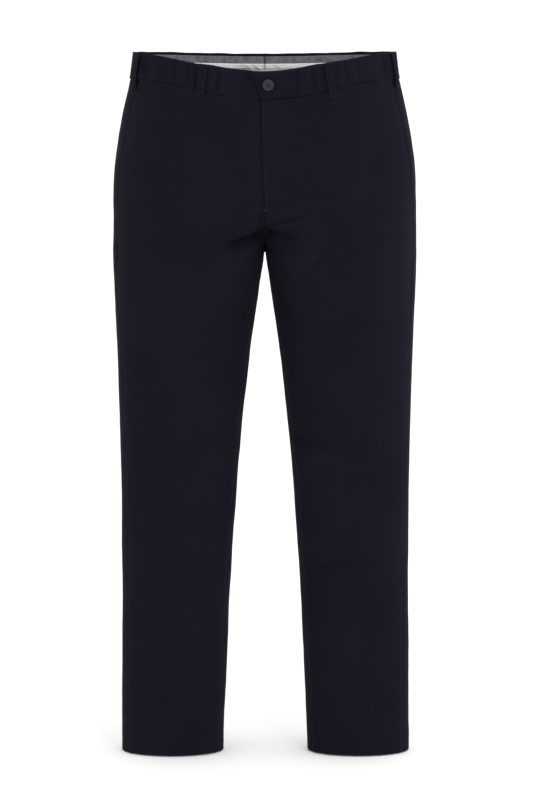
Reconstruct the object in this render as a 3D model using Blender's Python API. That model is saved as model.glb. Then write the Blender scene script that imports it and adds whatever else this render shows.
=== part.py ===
"""Dress trousers, standing filled out with nobody in them.

The frame is the garment's own: +Z up, +X to the wearer's left, the front faces -Y, and the origin
is the middle of the waist ring at half the waistband's height.  Sizes are in millimetres and turn
into metres when a mesh is made.

Every piece is cut from one surface, skin().  A section of one half is an oval whose outer part ends
at the side.  Below the crotch its inner part closes at the leg's inner edge.  Above the crotch the
inner part opens until it runs straight across the middle, and where the halves meet is the seat seam.
"""

import math

import bmesh
import bpy
import numpy as np
from mathutils import Vector

MM = 0.001

# Driving sizes
CLOTH_WALL = 1.5
BAND_WALL = 2.4
LINING_WALL = 1.0
SEAM_GAP = 0.3
LAYER_GAP = 0.5
HEM_Z = -1070.0
CROTCH_Z = -286.0
RISE_TOP_Z = -196.0
WAIST_FLAT = 0.2
LEG_MIDDLE = 0.5
BAND_HEIGHT = 40.0
BAND_BOTTOM_Z = -BAND_HEIGHT / 2
BAND_PROUD = 0.8
FRONT_DIP = 29.5
BACK_DIP = 3.0
DIP_START_Z = -190.0
INSEAM_FORWARD = 22.0
INSEAM_SETTLE = 120.0
THIGH_FULLNESS = 0.6
THIGH_FULL_END_Z = -410.0
THIGH_FULL_FADE = 110.0

# Side pocket: the front is cut back from the side seam, most at the waistband
POCKET_BOTTOM_Z = -188.0
POCKET_SLANT = 20.0
POCKET_TUCK = 16.0

# Fly: the left front laps over the right one
FLY_END_Z = -216.0
FLY_OPEN_Z = -196.0
FLY_FADE = 18.0
FLY_LIFT = 0.9
FLY_LAP_TOP = 4.3
FLY_LAP_BOTTOM = 0.5
FLY_TUCK = 8.0

# Waistband lap: the left end lies on the right end
LAP_LIFT = 1.35
LAP_END_TOP = 29.0
LAP_END_BOTTOM = 6.3
LAP_TUCK = 30.0
LAP_MARGIN_LEFT = 6.0
LAP_MARGIN_RIGHT = 4.0
LINING_SETBACK = 2.5

# Inside of the waistband, measured down from its top edge
FACING_TOP = 2.0
FACING_HEIGHT = 11.5
PIPING_HEIGHT = 8.0
CURTAIN_HEIGHT = 34.0
CURTAIN_SETBACK = 2.4
CURTAIN_FLARE = 14.0

LOOP_WIDTH = 12.0
LOOP_WALL = 1.8
LOOP_BELOW_BAND = 15.0
LOOP_RISE = 5.0
LOOP_BOW = 2.4

BUTTON_RADIUS = 8.75
BUTTON_SIDES = 28
BUTTON_X = 5.3
BUTTON_SEAT = 0.45
BUTTON_HOLE_RADIUS = 0.9
BUTTON_HOLE_SIDES = 10
BUTTON_HOLE_SPREAD = 2.4
BUTTON_HOLE_DEPTH = 12.0
# Turned from the middle of its back round to the middle of its face, as (radius, rise)
BUTTON_PROFILE = (
    (0.0, 0.0), (6.6, 0.0), (8.2, 0.7), (BUTTON_RADIUS, 1.7), (8.3, 2.7), (7.3, 3.0), (6.3, 2.6), (5.4, 2.1),
    (0.0, 2.0),
)

# Outline of one half at each height: half_width is the side, inner the leg's inner edge, front and
# back how far the cloth stands before and behind the middle, and seam how far the side seam runs
# before it
SECTIONS = {
    "z": (20, -20, -60, -100, -150, -200, -245, -286, -340, -400, -500, -600, -700, -800, -900, -1000, -1070),
    "half_width": (202.3, 207.5, 216.4, 224.0, 231.4, 233.8, 234.5, 234.6, 233.6, 231.1, 227.6, 225.3, 224.2,
                   223.8, 224.6, 225.4, 225.7),
    "inner": (0, 0, 0, 0, 0, 0, 0, 0, 8.7, 17.2, 29.8, 39.8, 47.6, 54.3, 58.9, 63.7, 66.0),
    "front": (106, 111, 115, 117, 117, 115, 111, 105, 98, 90, 79, 71, 65, 61, 58, 56, 55),
    "back": (112, 117, 127, 136, 143, 145, 140, 129, 115, 101, 83, 73, 67, 64, 62, 61, 60),
    "seam": (34, 34, 36, 38, 38, 38, 37, 36, 34, 33, 31, 30, 29, 29, 29, 28, 28),
}

# Grids the pieces are made on.  Rows of a panel: from one height to the next in so many even steps
PANEL_ROWS = (
    (HEM_Z, -480.0, 12),
    (-480.0, -340.0, 4),
    (-340.0, CROTCH_Z, 4),
    (CROTCH_Z, -260.0, 4),
    (-260.0, FLY_END_Z, 2),
    (FLY_END_Z, POCKET_BOTTOM_Z, 2),
    (POCKET_BOTTOM_Z, BAND_BOTTOM_Z - SEAM_GAP, 7),
)
FRONT_COLUMNS = 12
BACK_COLUMNS = 16
FACING_COLUMNS, FACING_ROWS = 3, 9
BAND_ROWS = 3
LINING_ROW = 12.0
LOOP_ROWS = 9
WAIST_STATIONS = 24
LAP_STATIONS = 5
LAP_STATION = 8.0
STATION_GAP = 0.02
ARC_SAMPLES = 160
FLY_COLUMNS = (40.0, 26.0, 12.0)

# Height above the crotch over which folds fade out towards the middle
FOLD_FADE = 30.0

# Main folds: face, ends of the crease line as (x, z) seen from the front, half width of the
# crease and depth, negative for a trough
FOLDS = (
    ("front", (-56, -271), (-8, -258), 11, -6.0),
    ("front", (-66, -300), (-20, -284), 14, 3.0),
    ("front", (6, -252), (40, -259), 11, -5.0),
    ("front", (18, -292), (60, -286), 14, 2.5),
    ("front", (64, -322), (94, -284), 14, -3.5),
    ("front", (18, -236), (44, -230), 9, -2.5),
    ("front", (-76, -330), (-36, -326), 14, -2.5),
    ("front", (-130, -322), (-92, -316), 16, 2.5),
    ("front", (-136, -426), (-80, -402), 18, -2.5),
    ("front", (40, -566), (116, -596), 18, -4.0),
    ("front", (52, -604), (124, -630), 18, 2.5),
    ("front", (-184, -590), (-112, -566), 20, -2.5),
    ("front", (70, -778), (112, -770), 16, -2.0),
    ("front", (-150, -800), (-96, -816), 18, 1.5),
    ("back", (-84, -262), (-8, -304), 17, -6.0),
    ("back", (-104, -292), (-20, -338), 16, 3.5),
    ("back", (88, -258), (8, -300), 17, -5.5),
    ("back", (98, -296), (22, -332), 15, 3.0),
    ("back", (-186, -350), (-70, -372), 20, -4.0),
    ("back", (66, -366), (178, -344), 19, -3.5),
    ("back", (-196, -560), (-92, -578), 19, -4.5),
    ("back", (82, -570), (190, -556), 19, -4.5),
    ("back", (-180, -606), (-98, -600), 18, 3.0),
    ("back", (96, -612), (176, -600), 17, 2.5),
    ("back", (-176, -792), (-104, -780), 18, -2.5),
    ("back", (106, -770), (184, -782), 18, -2.5),
)

# Belt loops: name, half of the garment, x from the middle at its top and bottom, face; a side loop has
# None and its distance in front of the side seam
LOOPS = (
    ("belt_loop_front_left", 1, 94.5, 101.0, "front"),
    ("belt_loop_front_right", -1, 90.5, 96.0, "front"),
    ("belt_loop_side_left", 1, None, 0.0, "front"),
    ("belt_loop_side_right", -1, None, 6.0, "front"),
    ("belt_loop_back_left", 1, 108.0, 108.0, "back"),
    ("belt_loop_back_right", -1, 108.0, 108.0, "back"),
    ("belt_loop_back_centre", 1, 0.0, 0.0, "back"),
)

LEFT, RIGHT = 1, -1
HALF_GAP = SEAM_GAP / 2
PAST_MIDDLE = 100.0


# ---- Numbers along the garment ----

def ease(value):
    """Smooth step from 0 to 1."""
    value = min(max(value, 0.0), 1.0)
    return value * value * (3 - 2 * value)


def section(column, z):
    """One column of SECTIONS at height z, on a smooth curve through its rows."""
    heights, values = SECTIONS["z"], SECTIONS[column]
    last = len(heights) - 1
    z = min(max(z, heights[last]), heights[0])
    row = next(i for i in range(last) if z >= heights[i + 1])

    def slope(i):
        low, high = max(i - 1, 0), min(i + 1, last)
        return (values[high] - values[low]) / (heights[high] - heights[low])

    span = heights[row + 1] - heights[row]
    u = (z - heights[row]) / span
    return (
        (2 * u ** 3 - 3 * u ** 2 + 1) * values[row]
        + (u ** 3 - 2 * u ** 2 + u) * span * slope(row)
        + (3 * u ** 2 - 2 * u ** 3) * values[row + 1]
        + (u ** 3 - u ** 2) * span * slope(row + 1)
    )


def oval(z):
    """One half's section at height z: its middle, its reach outwards and inwards, and how round
    the inner part is, from 0 for straight to 1 for closed."""
    side = section("half_width", z)
    if z < CROTCH_Z:
        inner = max(section("inner", z), HALF_GAP)
        middle = side + (inner - side) * LEG_MIDDLE
        return middle, side - middle, middle - inner, 1.0
    down = ease((BAND_BOTTOM_Z - z) / (BAND_BOTTOM_Z - CROTCH_Z))
    middle = side * (WAIST_FLAT + (LEG_MIDDLE - WAIST_FLAT) * down)
    roundness = 1 - ease((z - CROTCH_Z) / (RISE_TOP_Z - CROTCH_Z))
    return middle, side - middle, middle - HALF_GAP, roundness


def angle_at(x, z):
    """Angle at which the front cloth stands x from the garment's middle, above the crotch."""
    middle, outwards, inwards, _ = oval(z)
    if x < HALF_GAP:
        return math.pi + (HALF_GAP - x) / PAST_MIDDLE
    return math.acos(min((x - middle) / (outwards if x > middle else inwards), 1.0))


def waist_dip(x, face_front):
    """How far the waist drops at x from the middle."""
    reach = min(abs(x) / section("half_width", 0.0), 1.0)
    return (FRONT_DIP if face_front else BACK_DIP) * math.cos(reach * math.pi / 2) ** 2


# ---- The surface ----

def is_front(angle, z):
    """Whether an angle lies on the front; on a leg, past half a turn back is the front again."""
    return angle >= 0 or (angle < -math.pi and z < CROTCH_Z)


def base(angle, z):
    """Point of the plain oval.

    Angle 0 is the side, positive turns to the front, and half a turn is the inner edge.  Above the
    crotch a greater angle goes on past the garment's middle, level with the other half.
    """
    middle, outwards, inwards, roundness = oval(z)
    if abs(angle) > math.pi and z >= CROTCH_Z:
        x = HALF_GAP - (abs(angle) - math.pi) * PAST_MIDDLE
        turn = max((abs(x) - middle) / inwards, -1.0)
    else:
        turn = math.cos(angle)
        x = middle + (outwards if turn > 0 else inwards) * turn
    ratio = turn if turn > 0 else turn * roundness
    depth = math.sqrt(1 - ratio * ratio)
    if is_front(angle, z):
        if turn < 0:
            depth *= 1 + THIGH_FULLNESS * ratio * ratio * ease((z - THIGH_FULL_END_Z) / THIGH_FULL_FADE)
        return Vector((x, -section("front", z) * depth, z))
    return Vector((x, section("back", z) * depth, z))


def outward(angle, z):
    """Normal of the plain oval."""
    step_angle, step_z = 0.004, 1.0
    if z >= CROTCH_Z and abs(base(angle, z).x) < HALF_GAP + 0.02:
        if z < CROTCH_Z + step_z:
            return Vector((0, 0, -1))
        rise = base(angle, z + step_z) - base(angle, z - step_z)
        facing = -1 if is_front(angle, z) else 1
        return Vector((0, facing * rise.z, -facing * rise.y)).normalized()
    across = base(angle + step_angle, z) - base(angle - step_angle, z)
    up = base(angle, z + step_z) - base(angle, z - step_z)
    return up.cross(across).normalized()


def fold_height(x, z, angle):
    """Height of the main folds at a point, none along the silhouette at the side and inner leg."""
    face = "front" if is_front(angle, z) else "back"
    turn = abs(math.sin(angle))
    if math.cos(angle) < 0:
        turn = max(turn, ease((z - CROTCH_Z) / FOLD_FADE))
    total = 0.0
    for fold_face, start, end, width, depth in FOLDS:
        if fold_face != face:
            continue
        run = Vector(end) - Vector(start)
        along = (Vector((x, z)) - Vector(start)).dot(run) / run.length_squared
        off = (Vector((x, z)) - Vector(start) - run * min(max(along, 0.0), 1.0)).length
        total += depth * math.exp(-(off / width) ** 2)
    return total * ease(turn * 1.6)


def skin(half, angle, height, out=0.0):
    """Point of the cloth on one half, moved out along the surface's normal.

    height is measured at the side; towards the middle of the waist the cloth dips below it.
    """
    dip = waist_dip(base(angle, height).x, is_front(angle, height))
    z = height - dip * ease((height - DIP_START_Z) / (BAND_BOTTOM_Z - DIP_START_Z))
    point = base(angle, z)
    point += outward(angle, z) * (out + fold_height(half * point.x, z, angle))
    return Vector((half * point.x, point.y, point.z))


def along(start, end, z, distances_of):
    """Angles at given distances along the cloth from start; distances_of takes the whole length."""
    angles = np.linspace(start, end, ARC_SAMPLES)
    points = np.array([base(angle, z)[:] for angle in angles])
    lengths = np.concatenate([[0.0], np.cumsum(np.linalg.norm(np.diff(points, axis=0), axis=1))])
    return [float(angle) for angle in np.interp(distances_of(lengths[-1]), lengths, angles)]


def spread(start, end, z, columns):
    """Angles from start to end, evenly spaced along the cloth."""
    return along(start, end, z, lambda length: np.linspace(0, length, columns + 1))


def side_seam(z):
    """Angle of the side seam, which runs a little before the widest line."""
    return math.asin(section("seam", z) / section("front", z))


def inseam(z):
    """Angle of the inseam on a leg's inner edge, a little to the front of it lower down."""
    forward = INSEAM_FORWARD * ease((CROTCH_Z - z) / INSEAM_SETTLE)
    return math.pi - math.asin(forward / section("front", z))


def beside(angle, z, distance):
    """Angle a small distance along the cloth from another one."""
    step = 0.01
    return angle + distance * 2 * step / (base(angle + step, z) - base(angle - step, z)).length


def lap(x, full, fade):
    """1 where one layer lies on another, falling to 0 at fade."""
    return 1 - ease((x - full) / (fade - full))


# ---- Meshes ----

def material(name, colour, roughness):
    """Principled material in one colour, none of them metal."""
    made = bpy.data.materials.new(name)
    made.use_nodes = True
    shader = made.node_tree.nodes["Principled BSDF"]
    shader.inputs["Base Color"].default_value = (*colour, 1.0)
    shader.inputs["Roughness"].default_value = roughness
    shader.inputs["Metallic"].default_value = 0.0
    return made


def add_object(name, mesh, finish):
    """Puts a mesh in the scene as one named piece."""
    mesh.materials.append(finish)
    mesh.shade_smooth()
    mesh.set_sharp_from_angle(angle=math.radians(40))
    piece = bpy.data.objects.new(name, mesh)
    bpy.context.scene.collection.objects.link(piece)
    return piece


def add_wall(name, finish, outer, inner):
    """Closed wall between two grids of points that have the same rows and columns."""
    rows, columns = len(outer), len(outer[0])
    shape = bmesh.new()
    faces = [[[shape.verts.new(point * MM) for point in row] for row in grid] for grid in (outer, inner)]
    for layer in faces:
        for i in range(rows - 1):
            for j in range(columns - 1):
                shape.faces.new((layer[i][j], layer[i][j + 1], layer[i + 1][j + 1], layer[i + 1][j]))
    rim = [(0, j) for j in range(columns)]
    rim += [(i, columns - 1) for i in range(1, rows)]
    rim += [(rows - 1, j) for j in range(columns - 2, -1, -1)]
    rim += [(i, 0) for i in range(rows - 2, 0, -1)]
    for (i, j), (k, m) in zip(rim, rim[1:] + rim[:1]):
        shape.faces.new((faces[0][i][j], faces[0][k][m], faces[1][k][m], faces[1][i][j]))
    bmesh.ops.recalc_face_normals(shape, faces=shape.faces)
    bmesh.ops.triangulate(shape, faces=shape.faces)
    mesh = bpy.data.meshes.new(name)
    shape.to_mesh(mesh)
    shape.free()
    return add_object(name, mesh, finish)


def even(low, high, steps):
    """Numbers from low to high in even steps."""
    return [low + (high - low) * i / steps for i in range(steps + 1)]


def waist_columns(start, first):
    """Columns of a waist piece from its front end, at angle start, to the centre back.

    The ones after first are on stations that all layers of the waist share, so the layers nest.
    """
    front = [angle_at(i * LAP_STATION, 0.0) for i in range(-LAP_STATIONS, 2 * LAP_STATIONS + 1)]
    stations = front + spread(front[-1], -math.pi, 0.0, WAIST_STATIONS)[1:]
    return [start] + [angle for angle in stations if angle < first - STATION_GAP]


def strip(name, finish, half, heights, columns_at, wall, lift):
    """Piece of cloth cut from one half.

    columns_at(height) gives the angles of its columns, lift(point, height) how far its outer face
    stands off the surface there, where x is measured from the middle towards this half's side.
    """
    outer, inner = [], []
    for height in heights:
        angles = columns_at(height)
        lifts = [lift(base(angle, height), height) for angle in angles]
        outer.append([skin(half, a, height, up) for a, up in zip(angles, lifts)])
        inner.append([skin(half, a, height, up - wall) for a, up in zip(angles, lifts)])
    return add_wall(name, finish, outer, inner)


def panel_heights():
    """Heights of a panel's rows, from the hem to the waistband."""
    heights = [HEM_Z]
    for low, high, steps in PANEL_ROWS:
        heights += even(low, high, steps)[1:]
    return heights


# ---- Legs ----

def dipped(height, face_front):
    """Height of the cloth at the garment's middle, for a height at its side."""
    full = ease((height - DIP_START_Z) / (BAND_BOTTOM_Z - DIP_START_Z))
    return height - (FRONT_DIP if face_front else BACK_DIP) * full


def pocket_angle(height):
    """Angle of the front's edge at the pocket, in front of the side seam."""
    share = (height - POCKET_BOTTOM_Z) / (BAND_BOTTOM_Z - POCKET_BOTTOM_Z)
    return beside(side_seam(height), height, POCKET_SLANT * max(share, 0.0))


def fly_edge(half, height):
    """How far from the middle a front ends: the left one laps past it, the right one below that."""
    z = dipped(height, True)
    open_share = ease((z - FLY_OPEN_Z) / FLY_FADE)
    run = (z - FLY_END_Z) / (BAND_BOTTOM_Z - FRONT_DIP - FLY_END_Z)
    top_lap = FLY_LAP_BOTTOM + (FLY_LAP_TOP - FLY_LAP_BOTTOM) * run
    reach = top_lap if half == LEFT else FLY_TUCK - top_lap
    return HALF_GAP - (reach + HALF_GAP) * open_share


def fly_lift(half, x, height):
    """How far a front stands off the surface beside the fly."""
    closed = ease((dipped(height, True) - FLY_END_Z) / FLY_FADE)
    edge = fly_edge(half, height)
    return half * FLY_LIFT * closed * lap(x, edge + FLY_COLUMNS[-1], edge + FLY_COLUMNS[0])


def front_columns(start, end, z):
    """Even columns from the side, then the ones that shape the lap beside the fly."""
    beside_fly = along(start, end, z, lambda length: [length - back for back in FLY_COLUMNS])
    return spread(start, beside_fly[0], z, FRONT_COLUMNS) + beside_fly[1:] + [end]


def make_front(half, name, finish):
    """Front panel from the pocket's edge or side seam to the fly, seat seam or inseam."""

    def columns_at(height):
        start = beside(pocket_angle(height), height, HALF_GAP)
        if height < CROTCH_Z:
            return front_columns(start, beside(inseam(height), height, -HALF_GAP), height)
        z = dipped(height, True)
        if z < FLY_OPEN_Z:
            return front_columns(start, math.pi - math.asin(HALF_GAP / section("front", z)), z)
        return front_columns(start, angle_at(fly_edge(half, height), z), z)

    strip(name, finish, half, panel_heights(), columns_at, CLOTH_WALL,
          lambda point, height: fly_lift(half, point.x, height))


def make_back(half, name, finish):
    """Back panel from the side seam round to the seat seam or inseam."""

    def columns_at(height):
        start = beside(side_seam(height), height, -HALF_GAP)
        if height < CROTCH_Z:
            return spread(start, beside(inseam(height), height, HALF_GAP) - 2 * math.pi, height, BACK_COLUMNS)
        z = dipped(height, False)
        return spread(start, math.asin(HALF_GAP / section("back", z)) - math.pi, z, BACK_COLUMNS)

    strip(name, finish, half, panel_heights(), columns_at, CLOTH_WALL, lambda point, height: 0.0)


def make_pocket_facing(half, name, finish):
    """Hip piece that shows behind the pocket's edge and runs on under the front."""

    def columns_at(height):
        start = beside(side_seam(height), height, HALF_GAP)
        end = beside(pocket_angle(height), height, POCKET_TUCK)
        return even(start, end, FACING_COLUMNS)

    heights = even(POCKET_BOTTOM_Z - POCKET_TUCK, BAND_BOTTOM_Z - SEAM_GAP, FACING_ROWS)
    strip(name, finish, half, heights, columns_at, CLOTH_WALL,
          lambda point, height: -CLOTH_WALL - LAYER_GAP)


# ---- Waist ----

def lap_lift(half, point):
    """How far the waistband's end stands off the surface at the lap."""
    if point.y > 0:
        return 0.0
    if half == LEFT:
        flat = LAP_TUCK + LAP_MARGIN_LEFT
        return LAP_LIFT * lap(point.x, flat, flat + LAP_TUCK)
    flat = LAP_END_TOP + LAP_MARGIN_RIGHT
    return -LAP_LIFT * lap(point.x, flat, flat + LAP_TUCK)


def make_band(half, name, finish):
    """Half of the waistband, from the centre back to its end at the front."""

    def columns_at(height):
        if half == RIGHT:
            return waist_columns(angle_at(-LAP_TUCK, height), angle_at(-LAP_TUCK, height))
        share = (height - BAND_BOTTOM_Z) / BAND_HEIGHT
        reach = LAP_END_BOTTOM + (LAP_END_TOP - LAP_END_BOTTOM) * share
        return waist_columns(angle_at(-reach, height), angle_at(-LAP_END_BOTTOM, height))

    strip(name, finish, half, even(BAND_BOTTOM_Z, -BAND_BOTTOM_Z, BAND_ROWS), columns_at, BAND_WALL,
          lambda point, height: BAND_PROUD + lap_lift(half, point))


def make_lining_strip(half, name, finish, top, depth, setback):
    """Strip on the inside of the waist, whose top is so far below the waistband's top edge.

    setback is how far it hangs free of the cloth behind it, lower down.
    """

    def columns_at(height):
        end = LINING_SETBACK + half * LAP_TUCK
        return waist_columns(angle_at(end, height), angle_at(end, 0.0))

    def lift(point, height):
        hang = setback * ease((high - height) / CURTAIN_FLARE)
        return BAND_PROUD - BAND_WALL - SEAM_GAP - hang + lap_lift(half, point)

    high = -BAND_BOTTOM_Z - top
    rows = max(1, round(depth / LINING_ROW))
    strip(name, finish, half, even(high - depth + SEAM_GAP, high, rows), columns_at, LINING_WALL, lift)


def make_loop(name, half, top, bottom, face, finish):
    """Belt loop: a strap sewn on at both ends that stands off the waistband between them."""
    low, high = BAND_BOTTOM_Z - LOOP_BELOW_BAND, -BAND_BOTTOM_Z - SEAM_GAP
    sign = 1 if face == "front" else -1

    def columns_at(height):
        if top is None:
            return [beside(side_seam(height), height, bottom + LOOP_WIDTH / 2 * step) for step in (-1, 0, 1)]
        x = bottom + (top - bottom) * (height - low) / (high - low)
        return [sign * angle_at(x + LOOP_WIDTH / 2 * step, height) for step in (1, 0, -1)]

    def lift(_, height):
        share = (height - low) / (high - low)
        on_band = ease((height - BAND_BOTTOM_Z + LOOP_RISE) / LOOP_RISE)
        bow = LOOP_BOW * math.sin(math.pi * share) ** 0.7
        return SEAM_GAP + LOOP_WALL + BAND_PROUD * on_band + bow

    strip(name, finish, half, even(low, high, LOOP_ROWS), columns_at, LOOP_WALL, lift)


def make_button(finish):
    """Turned button with a raised rim and four holes, on the waistband's lap."""
    shape = bmesh.new()
    rings = []
    for radius, rise in BUTTON_PROFILE:
        count = BUTTON_SIDES if radius else 1
        turns = [2 * math.pi * i / count for i in range(count)]
        rings.append([
            shape.verts.new(Vector((radius * math.cos(t), radius * math.sin(t), rise)) * MM) for t in turns
        ])
    for low, high in zip(rings, rings[1:]):
        for i in range(BUTTON_SIDES):
            after = i + 1
            corners = [low[i % len(low)], low[after % len(low)], high[after % len(high)], high[i % len(high)]]
            shape.faces.new(list(dict.fromkeys(corners)))
    bmesh.ops.recalc_face_normals(shape, faces=shape.faces)
    mesh = bpy.data.meshes.new("button")
    shape.to_mesh(mesh)
    shape.free()
    button = add_object("button", mesh, finish)

    angle = angle_at(BUTTON_X, 0.0)
    seat = skin(LEFT, angle, 0.0, BAND_PROUD + LAP_LIFT + BUTTON_SEAT)
    ahead = skin(LEFT, angle, 0.0, BAND_PROUD + LAP_LIFT + BUTTON_RADIUS) - seat
    button.location = seat * MM
    button.rotation_mode = "QUATERNION"
    button.rotation_quaternion = ahead.to_track_quat("Z", "Y")

    for i in range(4):
        turn = math.pi / 4 + i * math.pi / 2
        bpy.ops.mesh.primitive_cylinder_add(
            vertices=BUTTON_HOLE_SIDES, radius=BUTTON_HOLE_RADIUS * MM, depth=BUTTON_HOLE_DEPTH * MM
        )
        cutter = bpy.context.object
        cutter.name = f"button_hole_cutter_{i}"
        cutter.parent = button
        cutter.location = Vector((math.cos(turn), math.sin(turn), 0.0)) * BUTTON_HOLE_SPREAD * MM
        cutter.hide_render = True
        cutter.display_type = "WIRE"
        hole = button.modifiers.new(f"hole_{i}", "BOOLEAN")
        hole.operation = "DIFFERENCE"
        hole.object = cutter


def main():
    """Builds every piece."""
    for old in list(bpy.data.objects):
        bpy.data.objects.remove(old)

    navy = material("navy_twill", (0.012, 0.012, 0.021), 0.85)
    chambray = material("grey_chambray", (0.13, 0.135, 0.145), 0.85)
    white = material("white_tape", (0.66, 0.66, 0.66), 0.8)
    beige = material("beige_lining", (0.42, 0.39, 0.36), 0.8)
    horn = material("dark_button", (0.035, 0.04, 0.055), 0.35)

    for half, side in ((LEFT, "left"), (RIGHT, "right")):
        make_front(half, f"front_{side}", navy)
        make_back(half, f"back_{side}", navy)
        make_pocket_facing(half, f"pocket_facing_{side}", navy)
        make_band(half, f"waistband_{side}", navy)
        top = FACING_TOP
        for kind, finish, depth, setback in (
            ("facing", chambray, FACING_HEIGHT, 0.0),
            ("piping", white, PIPING_HEIGHT, 0.0),
            ("curtain", beige, CURTAIN_HEIGHT, CURTAIN_SETBACK),
        ):
            make_lining_strip(half, f"waist_{kind}_{side}", finish, top, depth, setback)
            top += depth
    for name, half, top, bottom, face in LOOPS:
        make_loop(name, half, top, bottom, face, navy)
    make_button(horn)


main()
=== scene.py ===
"""Looks of the dress trousers: fine cloth, seams, sewing, linings and button over the frame.

Lengths are millimetres in the garment's own frame, with +Z up, +X to the wearer's left and the
front at -Y.  They turn into metres when a mesh is made.  Colours are linear.
"""

from __future__ import annotations

import logging
import math
from collections.abc import Callable, Sequence
from dataclasses import dataclass
from enum import Enum

import bmesh
import bpy
import numpy as np
from mathutils import Matrix, Vector


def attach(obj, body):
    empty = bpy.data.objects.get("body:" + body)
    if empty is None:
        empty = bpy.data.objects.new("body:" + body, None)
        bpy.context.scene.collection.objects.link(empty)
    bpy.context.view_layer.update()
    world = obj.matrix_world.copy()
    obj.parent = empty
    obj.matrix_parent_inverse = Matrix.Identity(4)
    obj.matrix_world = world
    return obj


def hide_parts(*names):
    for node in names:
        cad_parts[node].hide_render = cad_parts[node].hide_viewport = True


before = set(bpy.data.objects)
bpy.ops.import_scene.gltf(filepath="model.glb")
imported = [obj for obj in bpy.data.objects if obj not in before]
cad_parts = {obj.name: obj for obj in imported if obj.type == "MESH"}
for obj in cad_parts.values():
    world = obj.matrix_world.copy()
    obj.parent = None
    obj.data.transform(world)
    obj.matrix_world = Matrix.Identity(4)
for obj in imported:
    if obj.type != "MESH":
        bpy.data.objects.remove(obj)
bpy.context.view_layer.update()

LOG = logging.getLogger("trousers")
Array = np.ndarray
Points = Sequence[tuple[float, float]]
Colour = tuple[float, float, float]
Run = tuple[Array, Array]
BODY = "root"
MM = 0.001
FLAT_UV = "cloth"
# Mask of rubbed wear, with a painted highlight along the seams and the fly's edge
WEAR_AND_HIGHLIGHT = "wear"
# Mask of painted shade: darkest in fold troughs, gathers and crevices, and along seams
CREASE_SHADE = "crease"
FACING = "facing"

# Sizes of the surface, shared with the solids
SEAM_GAP = 0.3
HALF_GAP = SEAM_GAP / 2
HEM_Z = -1070.0
CROTCH_Z = -281.0
RISE_TOP_Z = -196.0
WAIST_FLAT, LEG_MIDDLE = 0.2, 0.5
BAND_HALF = 20.0
BAND_BOTTOM_Z = -BAND_HALF
BAND_TOP = BAND_HALF + 1.4
BAND_PROUD = 0.8
BAND_WALL = 2.4
FRONT_DIP, BACK_DIP = 29.5, 3.0
DIP_START_Z = -190.0
INSEAM_FORWARD, INSEAM_SETTLE = 22.0, 120.0
THIGH_FULLNESS = 0.6
THIGH_FULL_END_Z, THIGH_FULL_FADE = -410.0, 110.0
PAST_MIDDLE = 100.0
FOLD_FADE = 30.0
FOLD_LEVEL = 0.25
FOLD_EDGE = 1.6
POCKET_BOTTOM_Z = -188.0
POCKET_SLANT, POCKET_TUCK = 20.0, 16.0
FLY_END_Z, FLY_OPEN_Z = -216.0, -196.0
FLY_FADE = 18.0
FLY_LIFT = 0.9
FLY_LAP_TOP, FLY_LAP_BOTTOM = 4.3, 0.5
FLY_TUCK = 8.0
FLY_FLAT, FLY_BLEND = 12.0, 40.0
LAP_LIFT = 1.35
LAP_END_TOP = 29.0
LAP_TUCK = 30.0
LAP_MARGIN_LEFT, LAP_MARGIN_RIGHT = 6.0, 4.0

# Sizes of the cloth's own edges and creases
DENSE = np.array([9.0, 6.5, 4.5, 3.0, 2.0, 1.1])
BACK_STEP = 5.0
FINE_REACH, FINE_STEP = 68.0, 1.7
SINK_WIDTH = 2.2
PUCKER_WIDTH = 9.0
SEAM_TOUCH = -0.06
CLOSE_WIDTH = 7.0
# Fold depths at which the painted shade is full, on the panels and in the waistband's gathers
CREASE_SHADE_FULL, BAND_CREASE_SHADE_FULL = 21.0, 5.0
CLOTH_WALL = 0.6
SAMPLES = 260
SIDE_STEP = 0.01
CURVE_STEPS = SEEK_STEPS = 24


class Half(Enum):
    """Side of the wearer, with the sign of its x."""

    LEFT = 1
    RIGHT = -1

    @property
    def word(self) -> str:
        """The half's name as pieces carry it."""
        return self.name.lower()


class Face(Enum):
    """Face of the garment, with the sign of its angles on the surface."""

    FRONT = 1
    BACK = -1


@dataclass(frozen=True)
class Section:
    """Outline of one half at a height: side, leg's inner edge, reach to front and back, side seam."""

    z: float
    half_width: float
    inner: float
    front: float
    back: float
    seam: float


@dataclass(frozen=True)
class Fold:
    """Soft trough or ridge along a line of (x, z) points seen from the front.

    width is half its width, and half the only half that has it, or None where it crosses both.
    """

    face: Face
    line: Points
    width: float
    height: float
    half: Half | None = None

    @classmethod
    def read(cls, face: Face, half: Half | None, *rows: tuple[float, ...]) -> tuple[Fold, ...]:
        """Folds from rows of numbers: x and z of each point, then half width and height."""
        return tuple(cls(face, tuple(zip(row[:-2:2], row[1:-2:2])), *row[-2:], half) for row in rows)


SECTIONS = tuple(Section(*row) for row in (
    (20, 202.3, 0, 106, 112, 34), (-20, 207.5, 0, 111, 117, 34), (-60, 216.4, 0, 115, 127, 36),
    (-100, 224.0, 0, 117, 136, 38), (-150, 231.4, 0, 117, 143, 38), (-200, 233.8, 0, 115, 145, 38),
    (-245, 234.5, 0, 111, 140, 37), (-281, 234.6, 0, 106, 131, 36), (-340, 233.6, 8.7, 98, 115, 34),
    (-400, 231.1, 17.2, 90, 101, 33), (-500, 227.6, 29.8, 79, 83, 31), (-600, 225.3, 39.8, 71, 73, 30),
    (-700, 224.2, 47.6, 65, 67, 29), (-800, 223.8, 54.3, 61, 64, 29), (-900, 224.6, 58.9, 58, 62, 29),
    (-1000, 225.4, 63.7, 56, 61, 28), (-1070, 225.7, 66.0, 55, 60, 28),
))

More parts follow.
